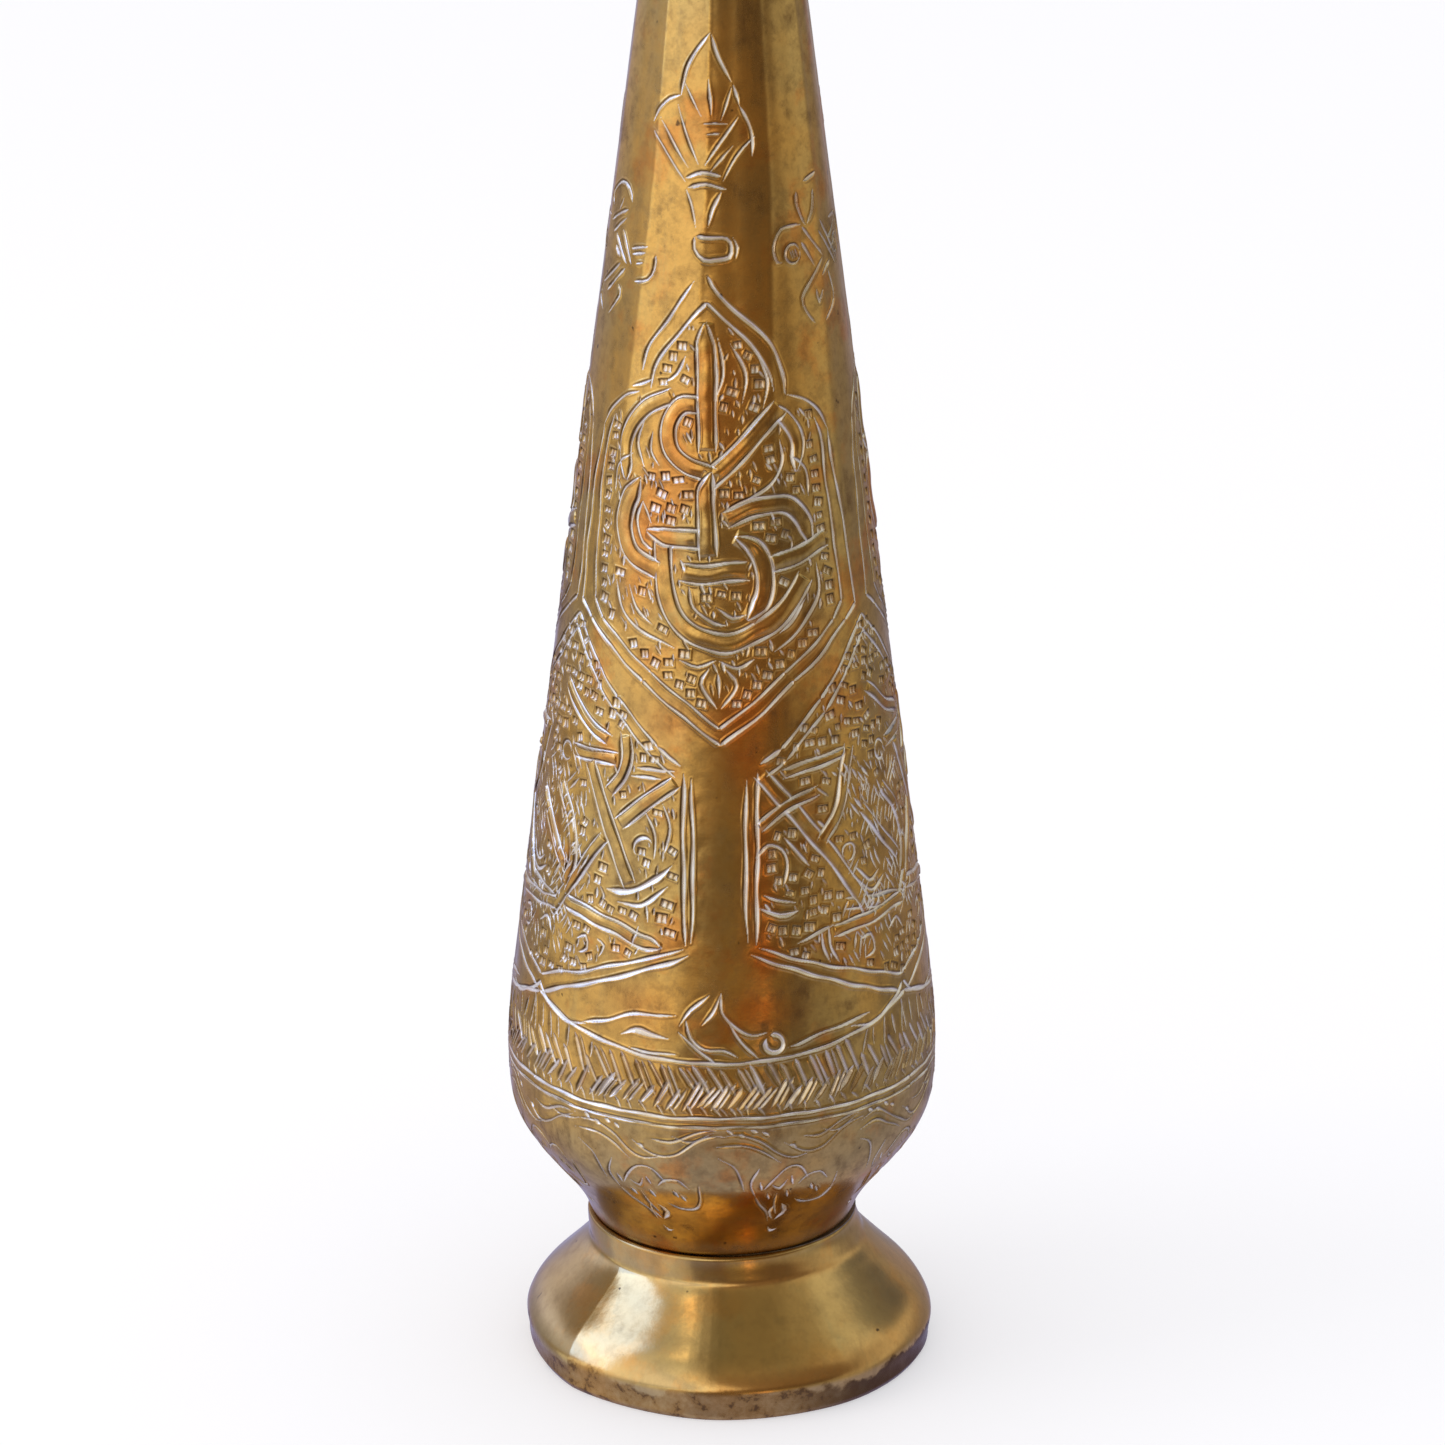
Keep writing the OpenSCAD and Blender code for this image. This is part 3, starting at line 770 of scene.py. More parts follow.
def engrave():
    """All three sectors, the panels and knots between them, and painted shade along the seam at the foot.
    """
    # painted shade along the crease where the body meets the foot
    sheet.painted_shade += 0.4 * np.exp(-((ROW_Z - WAIST_Z) / 1.2) ** 2)[:, None]
    for turn in SECTORS:
        # painted reflection: copper-red patches, the same in every sector
        for azimuth, z, wide, tall, strength in ORANGE_REFLECTIONS:
            across = signed(AZIMUTH - azimuth - turn)[None, :] * ROW_R[:, None] * DEG / wide
            sheet.orange_reflection += strength * np.exp(-across ** 2 - ((ROW_Z - z) / tall)[:, None] ** 2)
    leans = ([(60, -0.8), (100, 0), (118, -2), (137, -5), (153, -4.5), (167, -7.3), (180, -9),
              (192, -9), (200, -7.5)],
             [(60, 0), (102, 1), (140, 3), (167, 4), (200, 6)],
             [(60, 0), (102, -1), (140, -2), (167, 1), (200, 2)])
    for k, (middle, lean) in enumerate(zip(SECTORS, leans)):
        pen = Pen(middle, lean, 0.1, seed=k)
        for draw in (medallion_border, medallion_knot, bud, stem_band, cartouche):
            draw(pen)
        herringbone(Pen(middle, [(0, 0)], 0.06, seed=10 + k))
        for spot in (-20, 20, 60):
            motif = Pen(middle + spot - 1, [(0, 0)], 0.14, seed=20 + 3 * k + spot)
            vine(motif)
            tassel(motif)
        between = Pen(middle + HALF, [(60, 0), (117, -1), (157, -4), (185, -3)], 0.1, seed=40 + k)
        panel(between)
        side_knot(between, k == 2)


engrave()


# ---------------------------------------------------------------- shape of the hand-raised sheet
RIDGES = (-184, -152, -112, -76, -38, -8, 26, 58, 96, 140, 176)
FOOT_RIDGES = (-190, -144, -98, -50, -6, 36, 78, 120, 170)
# Soft waves round the body: count, mm, phase in radians, twist in radians per mm of height.
WAVES = ((3, 0.08, 0.4, 0.004), (5, 0.06, 2.1, -0.006), (8, 0.04, 1.0, 0.005),
         (13, 0.03, 3.3, -0.004), (19, 0.016, 0.2, 0.006), (31, 0.008, 5.1, 0.008))
# Raised ridges: azimuth, half width in degrees, mm.
CREASES = ((-38, 1.6, 0.03), (-8, 1.8, 0.04), (26, 2.2, 0.02), (96, 2, 0.03))


def facets(azimuth, ridges, soft):
    """How far flat facets between the ridges stand out from a circle of radius 1.

    It is negative in the middle of a facet, and about 0 on average. soft rounds the ridges.
    """
    total = 0
    for blur in np.linspace(-soft, soft, 5):
        turn = (azimuth + blur - ridges[0]) % 360 + ridges[0]
        for a, b in zip(ridges[:-1], ridges[1:]):
            half = (b - a) / 2 * DEG
            away = np.clip((turn - (a + b) / 2) * DEG, -half, half)
            total = total + np.where(np.abs(away) < half, math.cos(half) / np.cos(away) - 1, 0)
    return total / 5 + 0.03


def spread(mask, reach):
    """The mask's mean over a square of 2 reach + 1 rows and columns."""
    for axis in (0, 1):
        ends = [(0, 0), (0, 0)]
        ends[axis] = (reach + 1, reach)
        padded = np.pad(mask, ends, mode="wrap" if axis else "edge")
        run = np.cumsum(padded, axis=axis, dtype=np.float64)
        low = np.arange(mask.shape[axis])
        high = low + 2 * reach + 1
        mask = (np.take(run, high, axis) - np.take(run, low, axis)) / (2 * reach + 1)
    return mask


def body_swell(azimuth, z, worked):
    """Facets, soft waves and small dents of the hammered and chased sheet, in mm."""
    a = azimuth * DEG
    up = smoothstep((z - 80) / 90)
    lean = azimuth - np.interp(z, (60, 118, 150, 180), (-3, -4.5, -5, 0))
    total = facets(lean, RIDGES, 1.6) * radius_at(z) * (0.07 + 0.28 * up)
    for count, size, phase, twist in WAVES:
        total += size * np.cos(count * a + phase + twist * z)
    for ridge, wide, size in CREASES:
        away = signed(lean - ridge)
        total += size * np.exp(-(away / wide) ** 2) * smoothstep((z - 100) / 60)
    arc = a * radius_at(z)
    large = np.sin(0.62 * z + 1.3 * np.sin(0.43 * arc)) * np.sin(0.55 * arc + 1.1 * np.sin(0.37 * z + 1))
    small = np.sin(1.13 * z + 0.9 * np.sin(0.8 * arc) + 2) * np.sin(1.07 * arc + np.sin(0.9 * z))
    total += (large + 0.6 * small) * (0.008 + 0.05 * worked)
    fade = smoothstep((z - WAIST_Z) / 20)
    pinch = 0.55 * np.exp(-(z - WAIST_Z) / 1.1)      # the sheet draws in where it meets the foot
    return total * (0.2 + 0.8 * fade) - pinch


def joined(a, b):
    """Quads or triangles between two neighbouring rings of vertex numbers."""
    a1, b1 = np.roll(a, -1), np.roll(b, -1)
    if len(a) == len(b):
        corners = [(a, a1, b1, b)]
    elif len(b) == 1:
        corners = [(a, a1, np.full(len(a), b[0]))]
    elif len(a) == 1:
        corners = [(b1, b, np.full(len(b), a[0]))]
    elif len(a) == 2 * len(b):
        even, odd, after = a[0::2], a[1::2], a1[1::2]
        corners = [(even, odd, b), (odd, after, b1), (odd, b1, b)]
    else:
        even, odd, after = b[0::2], b[1::2], b1[1::2]
        corners = [(a, odd, even), (a1, after, odd), (a, a1, odd)]
    return [np.stack(face, axis=1) for face in corners]


def make_mesh(name, blocks, looped, layers=None):
    """A lathe mesh from blocks of rings: each block is (radii, heights), both rings by columns.

    A block may have half the columns of its neighbour. A ring with one column is a pole.
    looped joins the last ring to the first. layers are lists of per-vertex values, block by block.
    """
    points = []
    rings = []
    start = 0
    for radii, heights in blocks:
        count = radii.shape[1]
        turn = azimuth_of(np.arange(count), count) * DEG
        x = radii * np.sin(turn)
        y = -radii * np.cos(turn)
        points.append(np.stack([x, y, heights + 0 * radii], axis=-1).reshape(-1, 3))
        for _ in radii:
            rings.append(start + np.arange(count))
            start += count
    faces = []
    for a, b in zip(rings, rings[1:] + (rings[:1] if looped else [])):
        faces += joined(a, b)
    quads = np.concatenate([f for f in faces if f.shape[1] == 4])
    triangles = np.concatenate([f for f in faces if f.shape[1] == 3] + [np.zeros((0, 3), int)])
    mesh = bpy.data.meshes.new(name)
    mesh.vertices.add(start)
    mesh.vertices.foreach_set("co", (np.concatenate(points) * MM).astype(np.float32).ravel())
    corners = np.concatenate([quads.ravel(), triangles.ravel()])
    sizes = np.concatenate([np.full(len(quads), 4), np.full(len(triangles), 3)])
    mesh.loops.add(len(corners))
    mesh.loops.foreach_set("vertex_index", corners.astype(np.int32))
    mesh.polygons.add(len(sizes))
    starts = np.concatenate([[0], np.cumsum(sizes)[:-1]])
    mesh.polygons.foreach_set("loop_start", starts.astype(np.int32))
    mesh.polygons.foreach_set("use_smooth", np.ones(len(sizes), bool))
    mesh.update(calc_edges=True)
    for layer, parts in (layers or {}).items():
        values = np.concatenate([p.ravel() for p in parts]).astype(np.float32)
        mesh.attributes.new(layer, "FLOAT", "POINT").data.foreach_set("value", values)
    piece = new_object(name, mesh)
    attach(piece, "root")
    return piece


def rings_of(points, columns, swell=None):
    """A block of plain rings through (radius, height) points."""
    radii, heights = np.array(points, float).T[:, :, None]
    radii = radii + np.zeros((1, columns))
    if swell is not None:
        radii = radii + swell(azimuth_of(np.arange(columns), columns)[None, :], heights)
    return radii, heights


def body_relief():
    """Radii and heights of every vertex of the body's outside."""
    slope_r = np.gradient(ROW_R, ROW_S)[:, None]
    slope_z = np.gradient(ROW_Z, ROW_S)[:, None]
    lip = sheet.lip * np.exp(-sheet.cut / 0.03)
    worked = spread(sheet.taken.astype(np.float32), round(1.6 / ROW_STEP))
    height = body_swell(AZIMUTH[None, :], ROW_Z[:, None], worked) + sheet.rise + lip - sheet.cut
    return ROW_R[:, None] + height * slope_z, ROW_Z[:, None] - height * slope_r


def shell(name, node, before, after, first, last, split=None, looped=True):
    """A body piece: its engraved outside between plain rings, split where its columns halve."""
    radii, heights = RELIEF
    stops = [first, last] if split is None else [first, split, last]
    values = {"bright": [], "painted_shade": [], "orange_reflection": []}
    blocks = []

    def add(block, layer_values=None):
        blocks.append(block)
        for key, parts in values.items():
            parts.append(layer_values[key] if layer_values else np.zeros(block[0].shape))

    for block in before:
        add(block)
    for k, (a, b) in enumerate(zip(stops[:-1], stops[1:])):
        step = 1 if k == 0 else 2
        rows = slice(a, b)
        add((radii[rows, ::step], heights[rows, ::step]),
            {key: getattr(sheet, key)[rows, ::step] for key in values})
    for block in after:
        add(block)
    piece = make_mesh(name, blocks, looped, values)
    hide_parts(node)
    return piece


RELIEF = body_relief()


def make_cone():
    split = int(np.searchsorted(ROW_Z, HALVED_Z))
    heights = np.linspace(NECK_Z - CLEAR, SEAM_Z + CLEAR, 24)
    inner = list(zip(cone.outline(heights, inside=True), heights))
    high = [p for p in inner if p[1] > HALVED_Z]
    low = [p for p in inner if p[1] <= HALVED_Z]
    after = [rings_of(high, COLUMNS // 2), rings_of(low, COLUMNS)]
    piece = shell("engraved_cone", "neck_cone", [], after, SEAM_ROW, len(ROW_S), split)
    return piece


def make_cup():
    foot_z = cup.low
    spigot = cup.radius(foot_z + 1)
    lip = [(cup.radius(z), z) for z in (SEAM_Z + 0.3, cup.high - CLEAR)]
    heights = np.concatenate([np.linspace(cup.high - CLEAR, SEAM_Z - 3, 6),
                              np.linspace(SEAM_Z - 3.5, foot_z + 1.1, 24)])
    inner = list(zip(cup.outline(heights, inside=True), heights))
    floor_z = foot_z + 1
    before = [rings_of([(0, foot_z)], 1),
              rings_of([(spigot - 0.1, foot_z), (spigot, foot_z + 0.1), (spigot, WAIST_Z)], COLUMNS)]
    after = [rings_of([(lip[0][0], SEAM_Z)] + lip + inner + [(inner[-1][0], floor_z)], COLUMNS),
             rings_of([(0, floor_z)], 1)]
    piece = shell("engraved_cup", "belly_cup", before, after, 0, SEAM_ROW + 1, looped=False)
    return piece


def make_foot():
    """The plain foot, with the soft facets of a raised and filed piece."""
    foot = Skin("foot")
    columns = 720
    out_z = np.concatenate([np.linspace(0.02, 1, 6), np.arange(1.2, foot.high - CLEAR, 0.2)])
    out_r = foot.outline(out_z)
    out_r[4:] = blurred(out_r[4:], 2)
    in_z = np.linspace(foot.high - CLEAR, 0.02, 60)
    in_r = foot.outline(in_z, inside=True)

    def swell(azimuth, z):
        low = 1 - smoothstep((z - 12) / 8)
        wave = 0.06 * np.cos(3 * azimuth * DEG + 1) + 0.05 * np.cos(7 * azimuth * DEG + 0.2 * z)
        belly = 0.3 * np.exp(-((z - 13.3) / 2.2) ** 2) + 0.3 * np.exp(-((z - 4.4) / 1.6) ** 2)
        fold = 0.15 * np.exp(-((z - 17) / 1.1) ** 2)
        crease = 0.22 * (1 - np.exp(-np.abs(azimuth + 50) / 7)) - 0.16
        shear = foot.axis_x / MM * np.sin(azimuth * DEG) * smoothstep((z - 15) / 6)
        flat = facets(azimuth, FOOT_RIDGES, 6) * 4 - crease
        return flat * low + wave * (0.3 + 0.7 * low) + belly - fold - shear

    top = foot.high
    out_r -= 0.35 * np.clip((out_z - top + 0.6) / 0.6, 0, 1) ** 2
    outside = rings_of(list(zip(out_r, out_z)), columns, swell)
    inside = rings_of(list(zip(in_r, in_z)), columns, lambda a, z: swell(a, z) * 0.5)
    # painted shade: darker toward the foot's top, where it meets the body
    shade_amount = [np.clip(0.5 - (top - block[1]) / 1.4, 0, 1) + 0 * block[0] for block in (outside, inside)]
    piece = make_mesh("flared_foot", [outside, inside], True, {"painted_shade": shade_amount})
    piece.data.transform(Matrix.Translation((foot.axis_x, 0, 0)))
    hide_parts("foot")
    return piece


def make_mouth():
    """The trumpet, its edge rolled round the wire."""
    mouth = Skin("mouth_flare")
    wire_low, wire_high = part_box("rim_wire")
    wire_r = (wire_high[2] - wire_low[2]) / 2 / MM
    wire_z = (wire_high[2] + wire_low[2]) / 2 / MM
    wire_x = wire_high[0] / MM - wire_r
    curl_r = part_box("mouth_flare")[1][0] / MM - wire_x
    top = wire_z - curl_r
    low = mouth.low + CLEAR
    out_z = np.concatenate([np.linspace(low, top - 8, 26), np.linspace(top - 7.5, top - 0.2, 40)])
    out = list(zip(blurred(mouth.outline(out_z), 2), out_z))
    in_z = np.concatenate([np.linspace(top + 0.5, top - 8, 40), np.linspace(top - 8.5, low, 26)])
    inner = list(zip(blurred(mouth.outline(in_z, inside=True), 2), in_z))

    def circle(radius, start, end, count):
        turns = np.linspace(start, end, count) * DEG
        return [(wire_x + radius * math.cos(t), wire_z + radius * math.sin(t)) for t in turns]

    slot_a, slot_b = 288, 294                # degrees round the wire
    run = (out + circle(curl_r, 232, slot_a, 10) + circle(wire_r + 0.02, slot_a, slot_b - 360, 30)
           + circle(curl_r, slot_b - 360, 152, 36) + inner)
    columns = 512
    piece = make_mesh("trumpet_mouth", [rings_of(run, columns)], True)
    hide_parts("mouth_flare")
    return piece


# ---------------------------------------------------------------- materials
GOLD = (0.84, 0.49, 0.13)
OLIVE = (0.68, 0.46, 0.16)
RED = (0.78, 0.34, 0.08)
# the colour of the painted copper-red reflection
REFLECTED_ORANGE = (0.92, 0.30, 0.05)
TARNISH = (0.22, 0.12, 0.045)
SPECK = (0.07, 0.04, 0.025)
# the dark of the painted shade
PAINTED_SHADE_COLOUR = (0.02, 0.01, 0.006)
FRESH_CUT_AND_HIGHLIGHT = (0.99, 0.96, 0.88)   # freshly cut metal, with the painted highlight of the cuts
WORN = (0.40, 0.20, 0.05)    # the foot's rim
# the dark of the rim's pits and of its painted shade
PIT_AND_SHADE = (0.08, 0.04, 0.025)


class Nodes:
    """Short calls for building a node tree."""

    def __init__(self, tree):
        self.tree = tree
        tree.nodes.clear()

    def add(self, kind, **settings):
        node = self.tree.nodes.new(kind)
        for name, value in settings.items():
            setattr(node, name, value)
        return node

    def put(self, socket, value):
        if hasattr(value, "is_output"):
            self.tree.links.new(value, socket)
        elif isinstance(value, (tuple, list)) and len(value) == 3 and socket.type == "RGBA":
            socket.default_value = (*value, 1)
        else:
            socket.default_value = value

    def math(self, operation, a, b=0.0, clamp=False):
        node = self.add("ShaderNodeMath", operation=operation, use_clamp=clamp)
        for socket, value in zip(node.inputs, (a, b)):
            self.put(socket, value)
        return node.outputs[0]

    def times(self, a, b, clamp=False):
        return self.math("MULTIPLY", a, b, clamp)

    def plus(self, a, b, clamp=False):
        return self.math("ADD", a, b, clamp)

    def noise(self, vector, scale, detail, rough, stretch=None, seed=0.0):
        if stretch or seed:
            mapping = self.add("ShaderNodeMapping")
            self.put(mapping.inputs["Vector"], vector)
            mapping.inputs["Scale"].default_value = stretch or (1, 1, 1)
            mapping.inputs["Location"].default_value = (seed, seed * 0.7, seed * 1.3)
            vector = mapping.outputs[0]
        node = self.add("ShaderNodeTexNoise")
        self.put(node.inputs["Vector"], vector)
        node.inputs["Scale"].default_value = scale
        node.inputs["Detail"].default_value = detail
        node.inputs["Roughness"].default_value = rough
        return node.outputs["Fac"]

    def remap(self, value, a, b, low=0.0, high=1.0):
        node = self.add("ShaderNodeMapRange", interpolation_type="SMOOTHSTEP")
        for name, entry in (("Value", value), ("From Min", a), ("From Max", b),
                            ("To Min", low), ("To Max", high)):
            self.put(node.inputs[name], entry)
        return node.outputs[0]

    def mix(self, factor, a, b, blend="MIX"):
        node = self.add("ShaderNodeMix", data_type="RGBA", blend_type=blend)
        self.put(node.inputs["Factor"], factor)
        self.put(node.inputs["A"], a)
        self.put(node.inputs["B"], b)
        return node.outputs["Result"]

    def attribute(self, name):
        return self.add("ShaderNodeAttribute", attribute_name=name).outputs["Fac"]

    def show(self, kind, surface):
        """Ends the tree in an output node of this kind."""
        self.put(self.add(kind).inputs["Surface"], surface.outputs[0])


def new_material(name):
    material = bpy.data.materials.new(name)
    material.use_nodes = True
    return material, Nodes(material.node_tree)


def brass(name, gold, olive, red, tarnish, rough, worn_rim_and_shade=False):
    """Old hand-polished brass: blotchy colour, painted shade by the cuts, fresh-cut metal with a painted
    highlight in them, painted copper-red reflections, and if asked a worn rim with painted shade on its
    right side.
    """
    material, n = new_material(name)
    place = n.add("ShaderNodeTexCoord").outputs["Object"]
    broad = n.noise(place, 32, 4, 0.55)
    blotch = n.noise(place, 95, 5, 0.62, seed=3.0)
    fine = n.noise(place, 1100, 4, 0.65, seed=7.0)
    streak = n.noise(place, 60, 5, 0.6, stretch=(5, 5, 0.5), seed=5.0)
    mottle = n.noise(place, 420, 6, 0.68, seed=11.0)
    specks = n.noise(place, 520, 2, 0.5, seed=9.0)
    colour = n.mix(n.remap(broad, 0.4, 0.6), olive, gold)
    colour = n.mix(n.remap(blotch, 0.51, 0.66, 0, 0.85), colour, red)
    colour = n.mix(n.remap(streak, 0.52, 0.72, 0, 0.5), colour, olive)
    # painted copper-red reflection, mottled
    orange_reflection = n.times(n.attribute("orange_reflection"), n.remap(mottle, 0.35, 0.6, 0.6, 1), clamp=True)
    colour = n.mix(n.times(orange_reflection, 0.85), colour, REFLECTED_ORANGE)
    stain = n.times(n.remap(blotch, 0.5, 0.36), n.remap(streak, 0.42, 0.6))
    dull = n.plus(n.remap(fine, 0.4, 0.7, 0, 0.3), n.remap(mottle, 0.44, 0.66, 0, 0.6))
    dull = n.times(n.plus(dull, n.times(stain, 0.8)), tarnish)
    colour = n.mix(n.times(dull, 0.75), colour, TARNISH)
    colour = n.mix(n.remap(specks, 0.74, 0.79, 0, 0.8), colour, SPECK)
    painted_shade = n.attribute("painted_shade")
    bright = n.attribute("bright")
    # painted shade by the cuts and at the foot's joint: darker and rougher
    shade_amount = n.times(painted_shade, n.remap(blotch, 0.3, 0.7, 0.6, 1.0))
    colour = n.mix(shade_amount, colour, PAINTED_SHADE_COLOUR)
    wear = 0.0
    if worn_rim_and_shade:
        height = n.add("ShaderNodeSeparateXYZ")
        n.put(height.inputs[0], place)
        ragged = n.plus(n.times(blotch, 0.009), -0.0006)
        edge = n.remap(n.math("SUBTRACT", height.outputs["Z"], ragged), 0.0005, -0.0003)
        wear = n.times(edge, n.remap(mottle, 0.3, 0.6, 0.45, 1))
        colour = n.mix(n.times(wear, 0.8), colour, WORN)
        # painted shade: the rim grows darker toward +X, its right side, away from the light; mottled pits
        # add to it
        shaded = n.remap(n.plus(height.outputs["X"], n.times(blotch, 0.01)), 0.012, 0.026)
        pits_and_shade = n.times(edge, n.math("MAXIMUM", n.remap(mottle, 0.53, 0.62, 0, 0.8), shaded))
        colour = n.mix(n.times(pits_and_shade, 0.8), colour, PIT_AND_SHADE)
    # fresh-cut metal and painted highlight in the cuts and punches
    colour = n.mix(bright, colour, FRESH_CUT_AND_HIGHLIGHT)
    roughness = n.plus(n.times(fine, 0.1), rough - 0.06)
    roughness = n.plus(roughness, n.times(n.remap(broad, 0.35, 0.65), 0.04))
    roughness = n.plus(roughness, n.times(dull, 0.14))
    matt = n.math("MAXIMUM", shade_amount, n.times(wear, 0.4))
    roughness = n.plus(roughness, n.times(matt, 0.3))
    roughness = n.plus(roughness, n.times(bright, 0.1), clamp=True)
    scratch = n.noise(place, 800, 2, 0.5, stretch=(1, 1, 0.06), seed=2.0)
    relief = n.plus(n.times(fine, 0.3), n.times(scratch, 0.25))
    relief = n.plus(relief, blotch)
    bump = n.add("ShaderNodeBump")
    bump.inputs["Strength"].default_value = 0.3
    bump.inputs["Distance"].default_value = 0.0001
    n.put(bump.inputs["Height"], relief)
    surface = n.add("ShaderNodeBsdfPrincipled")
    n.put(surface.inputs["Metallic"], n.math("SUBTRACT", 1.0, n.times(bright, 0.28)))
    surface.inputs["Specular Tint"].default_value = (0.72, 0.66, 0.68, 1)
    n.put(surface.inputs["Base Color"], colour)
    n.put(surface.inputs["Roughness"], roughness)
    n.put(surface.inputs["Normal"], bump.outputs[0])
    n.show("ShaderNodeOutputMaterial", surface)
    return material


def dress(piece, material):
    piece.data.materials.clear()
    piece.data.materials.append(material)


engraved = brass("engraved_brass", GOLD, OLIVE, RED, 0.7, 0.17)
plain = brass("plain_brass", (0.80, 0.50, 0.18), (0.68, 0.48, 0.20), (0.80, 0.46, 0.15), 0.32, 0.14,
              worn_rim_and_shade=True)
solder = brass("solder", (0.42, 0.38, 0.32), (0.3, 0.27, 0.22), (0.35, 0.28, 0.2), 1.0, 0.4)
wire = brass("wire", (0.75, 0.55, 0.25), (0.6, 0.45, 0.2), RED, 0.6, 0.3)

dress(make_cone(), engraved)
dress(make_cup(), engraved)
dress(make_foot(), plain)
dress(make_mouth(), plain)
for node, material in (("neck_ring", plain), ("rim_wire", wire), ("belly_solder", solder),
                       ("foot_solder", solder), ("neck_solder", solder)):
    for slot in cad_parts[node].material_slots:
        slot.material = material


# ---------------------------------------------------------------- floor and light
FLOOR_R = 4                  # metres
FLOOR_COLOUR = (0.57, 0.567, 0.576, 1)
FLOOR_GLOW = (0.39, 0.388, 0.40, 1)
LIGHT_AT = (-0.8, -0.2, 0.6)             # metres
LIGHT_AIM = (0, 0, 0.1)
STUDIO = (1.03, 1.03, 1.045)
CEILING = (0.14, 0.14, 0.095)
GROUND = (0.50, 0.54, 0.92)
# The room in the metal: azimuth and colour of its walls.
WALLS = ((-180, (0.56, 0.54, 0.58)), (-140, (0.70, 0.76, 1.15)), (-112, (0.50, 0.53, 0.72)),
         (-94, (0.47, 0.43, 0.41)), (-85, (0.98, 1.0, 1.02)), (-50, (0.96, 0.93, 0.96)),
         (-34, (0.76, 0.76, 0.80)), (-24, (1.10, 1.05, 0.95)), (-8, (0.80, 0.69, 0.55)),
         (2, (0.24, 0.17, 0.11)), (22, (0.19, 0.13, 0.08)), (50, (0.17, 0.12, 0.08)),
         (74, (0.40, 0.36, 0.30)), (98, (0.53, 0.50, 0.44)), (124, (0.34, 0.31, 0.30)),
         (150, (0.37, 0.36, 0.44)), (180, (0.56, 0.54, 0.58)))
# Soft-edged patches on them: azimuths, elevations, softness of the edge, blend, colour.
PATCHES = ((-98, -68, 6, 53, 3, "ADD", (0.60, 1.10, 2.9)),
           (-56, -36, 42, 64, 6, "ADD", (0.16, 0.15, 0.10)),
           (-48, -35, 50, 62, 4, "ADD", (0.8, 0.6, 0.35)),
           (-190, -104, 16, 60, 8, "MULTIPLY", (0.54, 0.46, 0.38)),
           (78, 112, 26, 54, 8, "ADD", (0.10, 0.15, 0.18)),
           (108, 190, 16, 70, 7, "MULTIPLY", (0.46, 0.52, 0.62)),
           (-3, 58, -7, 7, 4, "MULTIPLY", (0.78, 0.73, 0.68)),
           (-30, 0, 36, 70, 4, "MULTIPLY", (0.8, 0.8, 0.82)),
           (-190, -130, 16, 60, 8, "MULTIPLY", (0.75, 0.70, 0.65)),
           (124, 190, 16, 70, 6, "MULTIPLY", (0.62, 0.70, 0.90)),
           (46, 112, -60, -24, 6, "MULTIPLY", (0.80, 0.80, 0.85)),
           (4, 36, -19, -8, 6, "ADD", (0.20, 0.165, 0.065)),
           (18, 25, -17, -9, 3, "ADD", (0.9, 0.45, 0.18)))


def make_floor():
    """A wide pale disc that the vase stands on. It isn't seen in the metal."""
    mesh = bpy.data.meshes.new("floor")
    count = 96
    turns = np.arange(count) * 2 * math.pi / count
    corners = [(FLOOR_R * math.cos(t), FLOOR_R * math.sin(t), 0) for t in turns]
    mesh.from_pydata(corners, [], [list(range(count))])
    floor = new_object("floor", mesh)
    material, n = new_material("floor")
    surface = n.add("ShaderNodeBsdfPrincipled")
    surface.inputs["Base Color"].default_value = FLOOR_COLOUR
    surface.inputs["Emission Color"].default_value = FLOOR_GLOW
    surface.inputs["Emission Strength"].default_value = 1
    surface.inputs["Roughness"].default_value = 0.9
    surface.inputs["Specular IOR Level"].default_value = 0.1
    n.show("ShaderNodeOutputMaterial", surface)
    mesh.materials.append(material)
    floor.visible_glossy = False


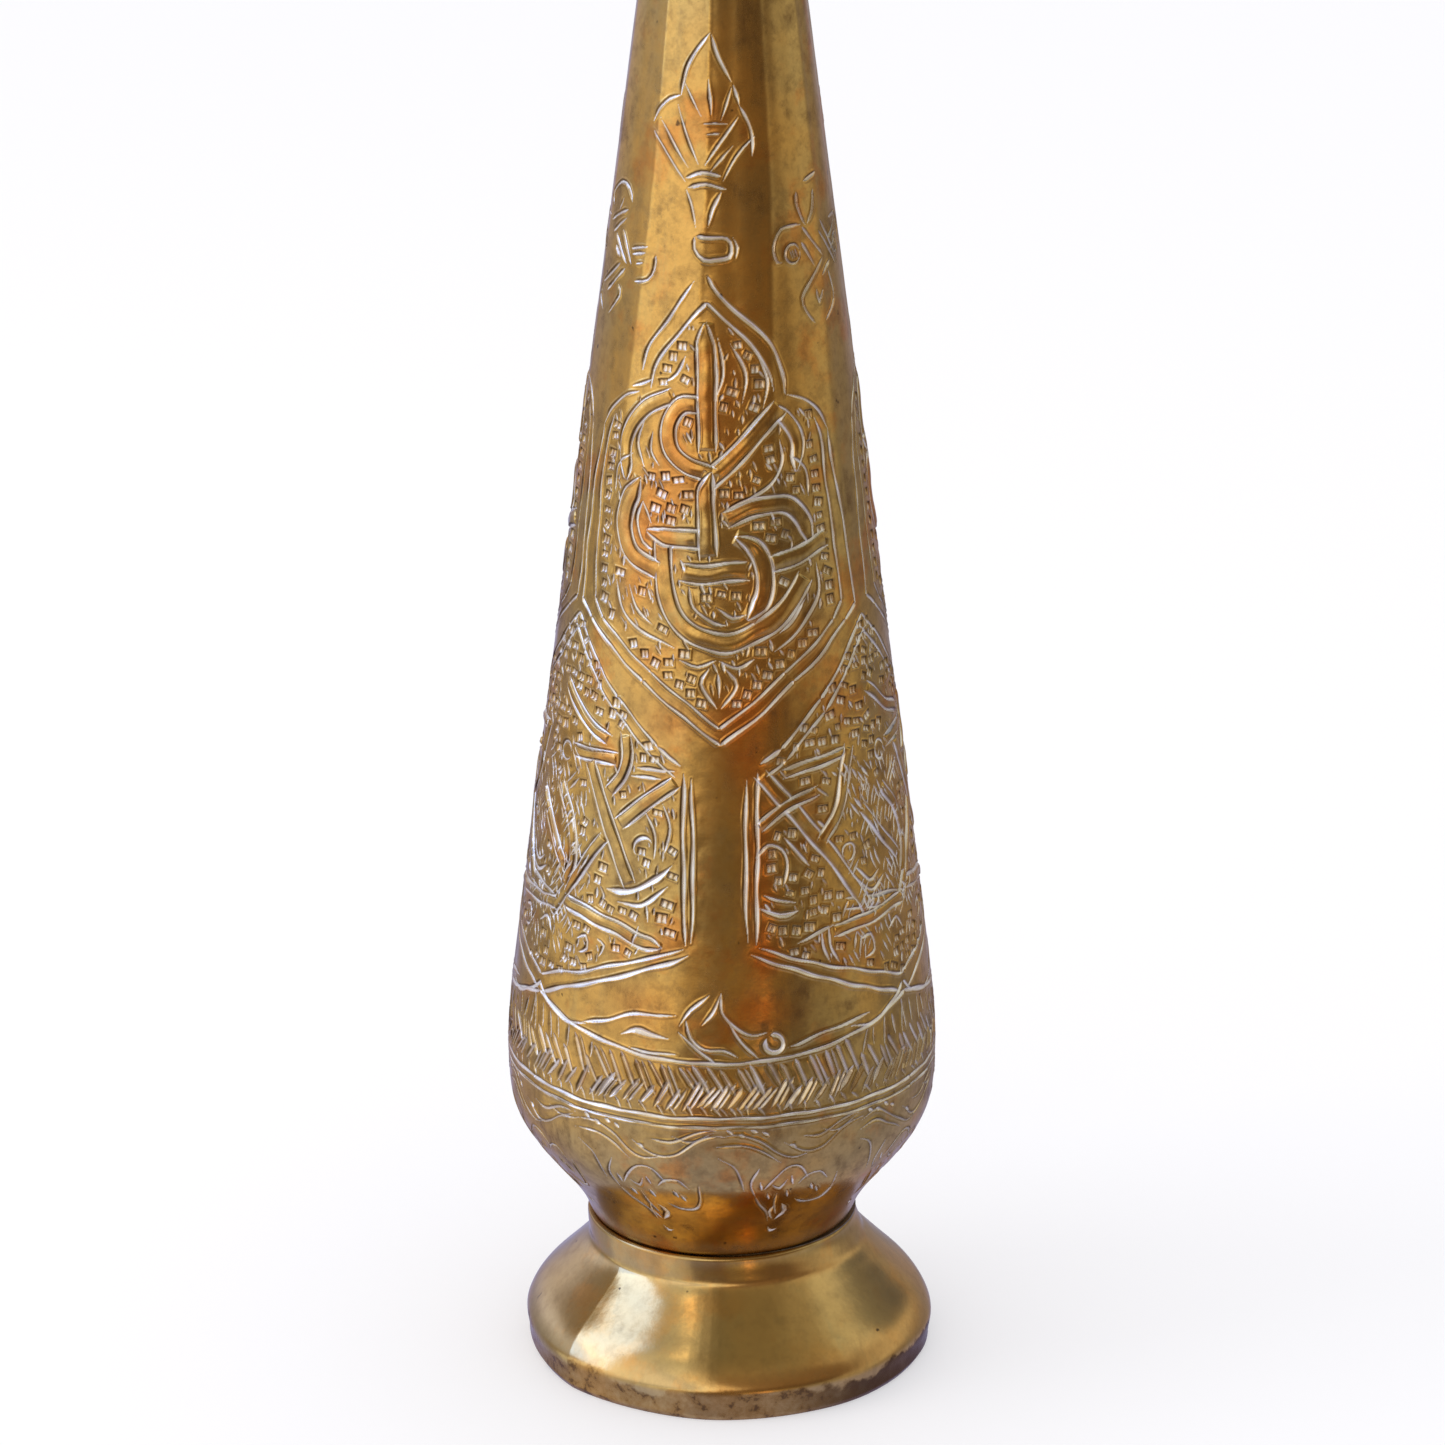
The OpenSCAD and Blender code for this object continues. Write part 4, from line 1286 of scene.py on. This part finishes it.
def make_world():
    """White studio for the eye and the floor; in the metal, a room with a window and dark walls."""
    world = bpy.data.worlds.new("studio")
    bpy.context.scene.world = world
    world.use_nodes = True
    n = Nodes(world.node_tree)
    way = n.add("ShaderNodeSeparateXYZ")
    n.put(way.inputs[0], n.add("ShaderNodeTexCoord").outputs["Generated"])
    x, y, z = way.outputs
    azimuth = n.times(n.math("ARCTAN2", x, n.times(y, -1.0)), 1 / DEG)
    elevation = n.times(n.math("ARCSINE", z), 1 / DEG)
    ramp = n.add("ShaderNodeValToRGB")
    ramp.color_ramp.interpolation = "EASE"
    # The walls lean: below and above eye level their edges move round the room.
    below = n.remap(elevation, 10.0, -16.0, -14.0, 24.0)
    above = n.remap(elevation, 12.0, 30.0, -14.0, 10.0)
    turned_by = n.math("MAXIMUM", below, above)
    n.put(ramp.inputs[0], n.plus(n.math("DIVIDE", n.plus(azimuth, turned_by), 360.0), 0.5))
    stops = ramp.color_ramp.elements
    for turn, colour in WALLS[1:-1]:
        stops.new(turn / 360 + 0.5).color = (*colour, 1)
    stops[0].color = stops[len(stops) - 1].color = (*WALLS[0][1], 1)
    shade_high = n.remap(elevation, 10.0, 60.0, 1.0, 0.35)
    shade_low = n.remap(elevation, 7.0, -15.0, 1.12, 0.72)
    room = n.mix(1.0, ramp.outputs[0], n.times(shade_high, shade_low), "MULTIPLY")
    ceiling = n.remap(elevation, 14.0, 40.0)
    room = n.mix(1.0, room, n.mix(ceiling, (0, 0, 0), CEILING), "ADD")
    room = n.mix(n.remap(elevation, -9.0, -36.0, 0.0, 0.7), room, GROUND)
    for az0, az1, el0, el1, soft, blend, colour in PATCHES:
        mask = n.remap(azimuth, az0 - soft, az0 + soft)
        mask = n.times(mask, n.remap(azimuth, az1 + soft, az1 - soft))
        mask = n.times(mask, n.remap(elevation, el0 - soft, el0 + soft))
        mask = n.times(mask, n.remap(elevation, el1 + soft, el1 - soft))
        room = n.mix(mask, room, colour, blend)
    rays = n.add("ShaderNodeLightPath")
    background = n.add("ShaderNodeBackground")
    n.put(background.inputs["Color"], n.mix(rays.outputs["Is Glossy Ray"], STUDIO, room))
    n.show("ShaderNodeOutputWorld", background)


def make_key_light():
    """A large soft light at the upper left, for the faint shadow on the right."""
    data = bpy.data.lights.new("key", "AREA")
    data.shape = "SQUARE"
    data.size = 0.5                      # metres
    data.energy = 1.8                    # watts
    light = new_object("key", data)
    light.location = LIGHT_AT
    aim = Vector(LIGHT_AIM) - light.location
    light.rotation_euler = aim.to_track_quat("-Z", "Y").to_euler()
    light.visible_glossy = False
    light.visible_camera = False


make_floor()
make_world()
make_key_light()
bpy.context.scene.view_settings.view_transform = "Standard"
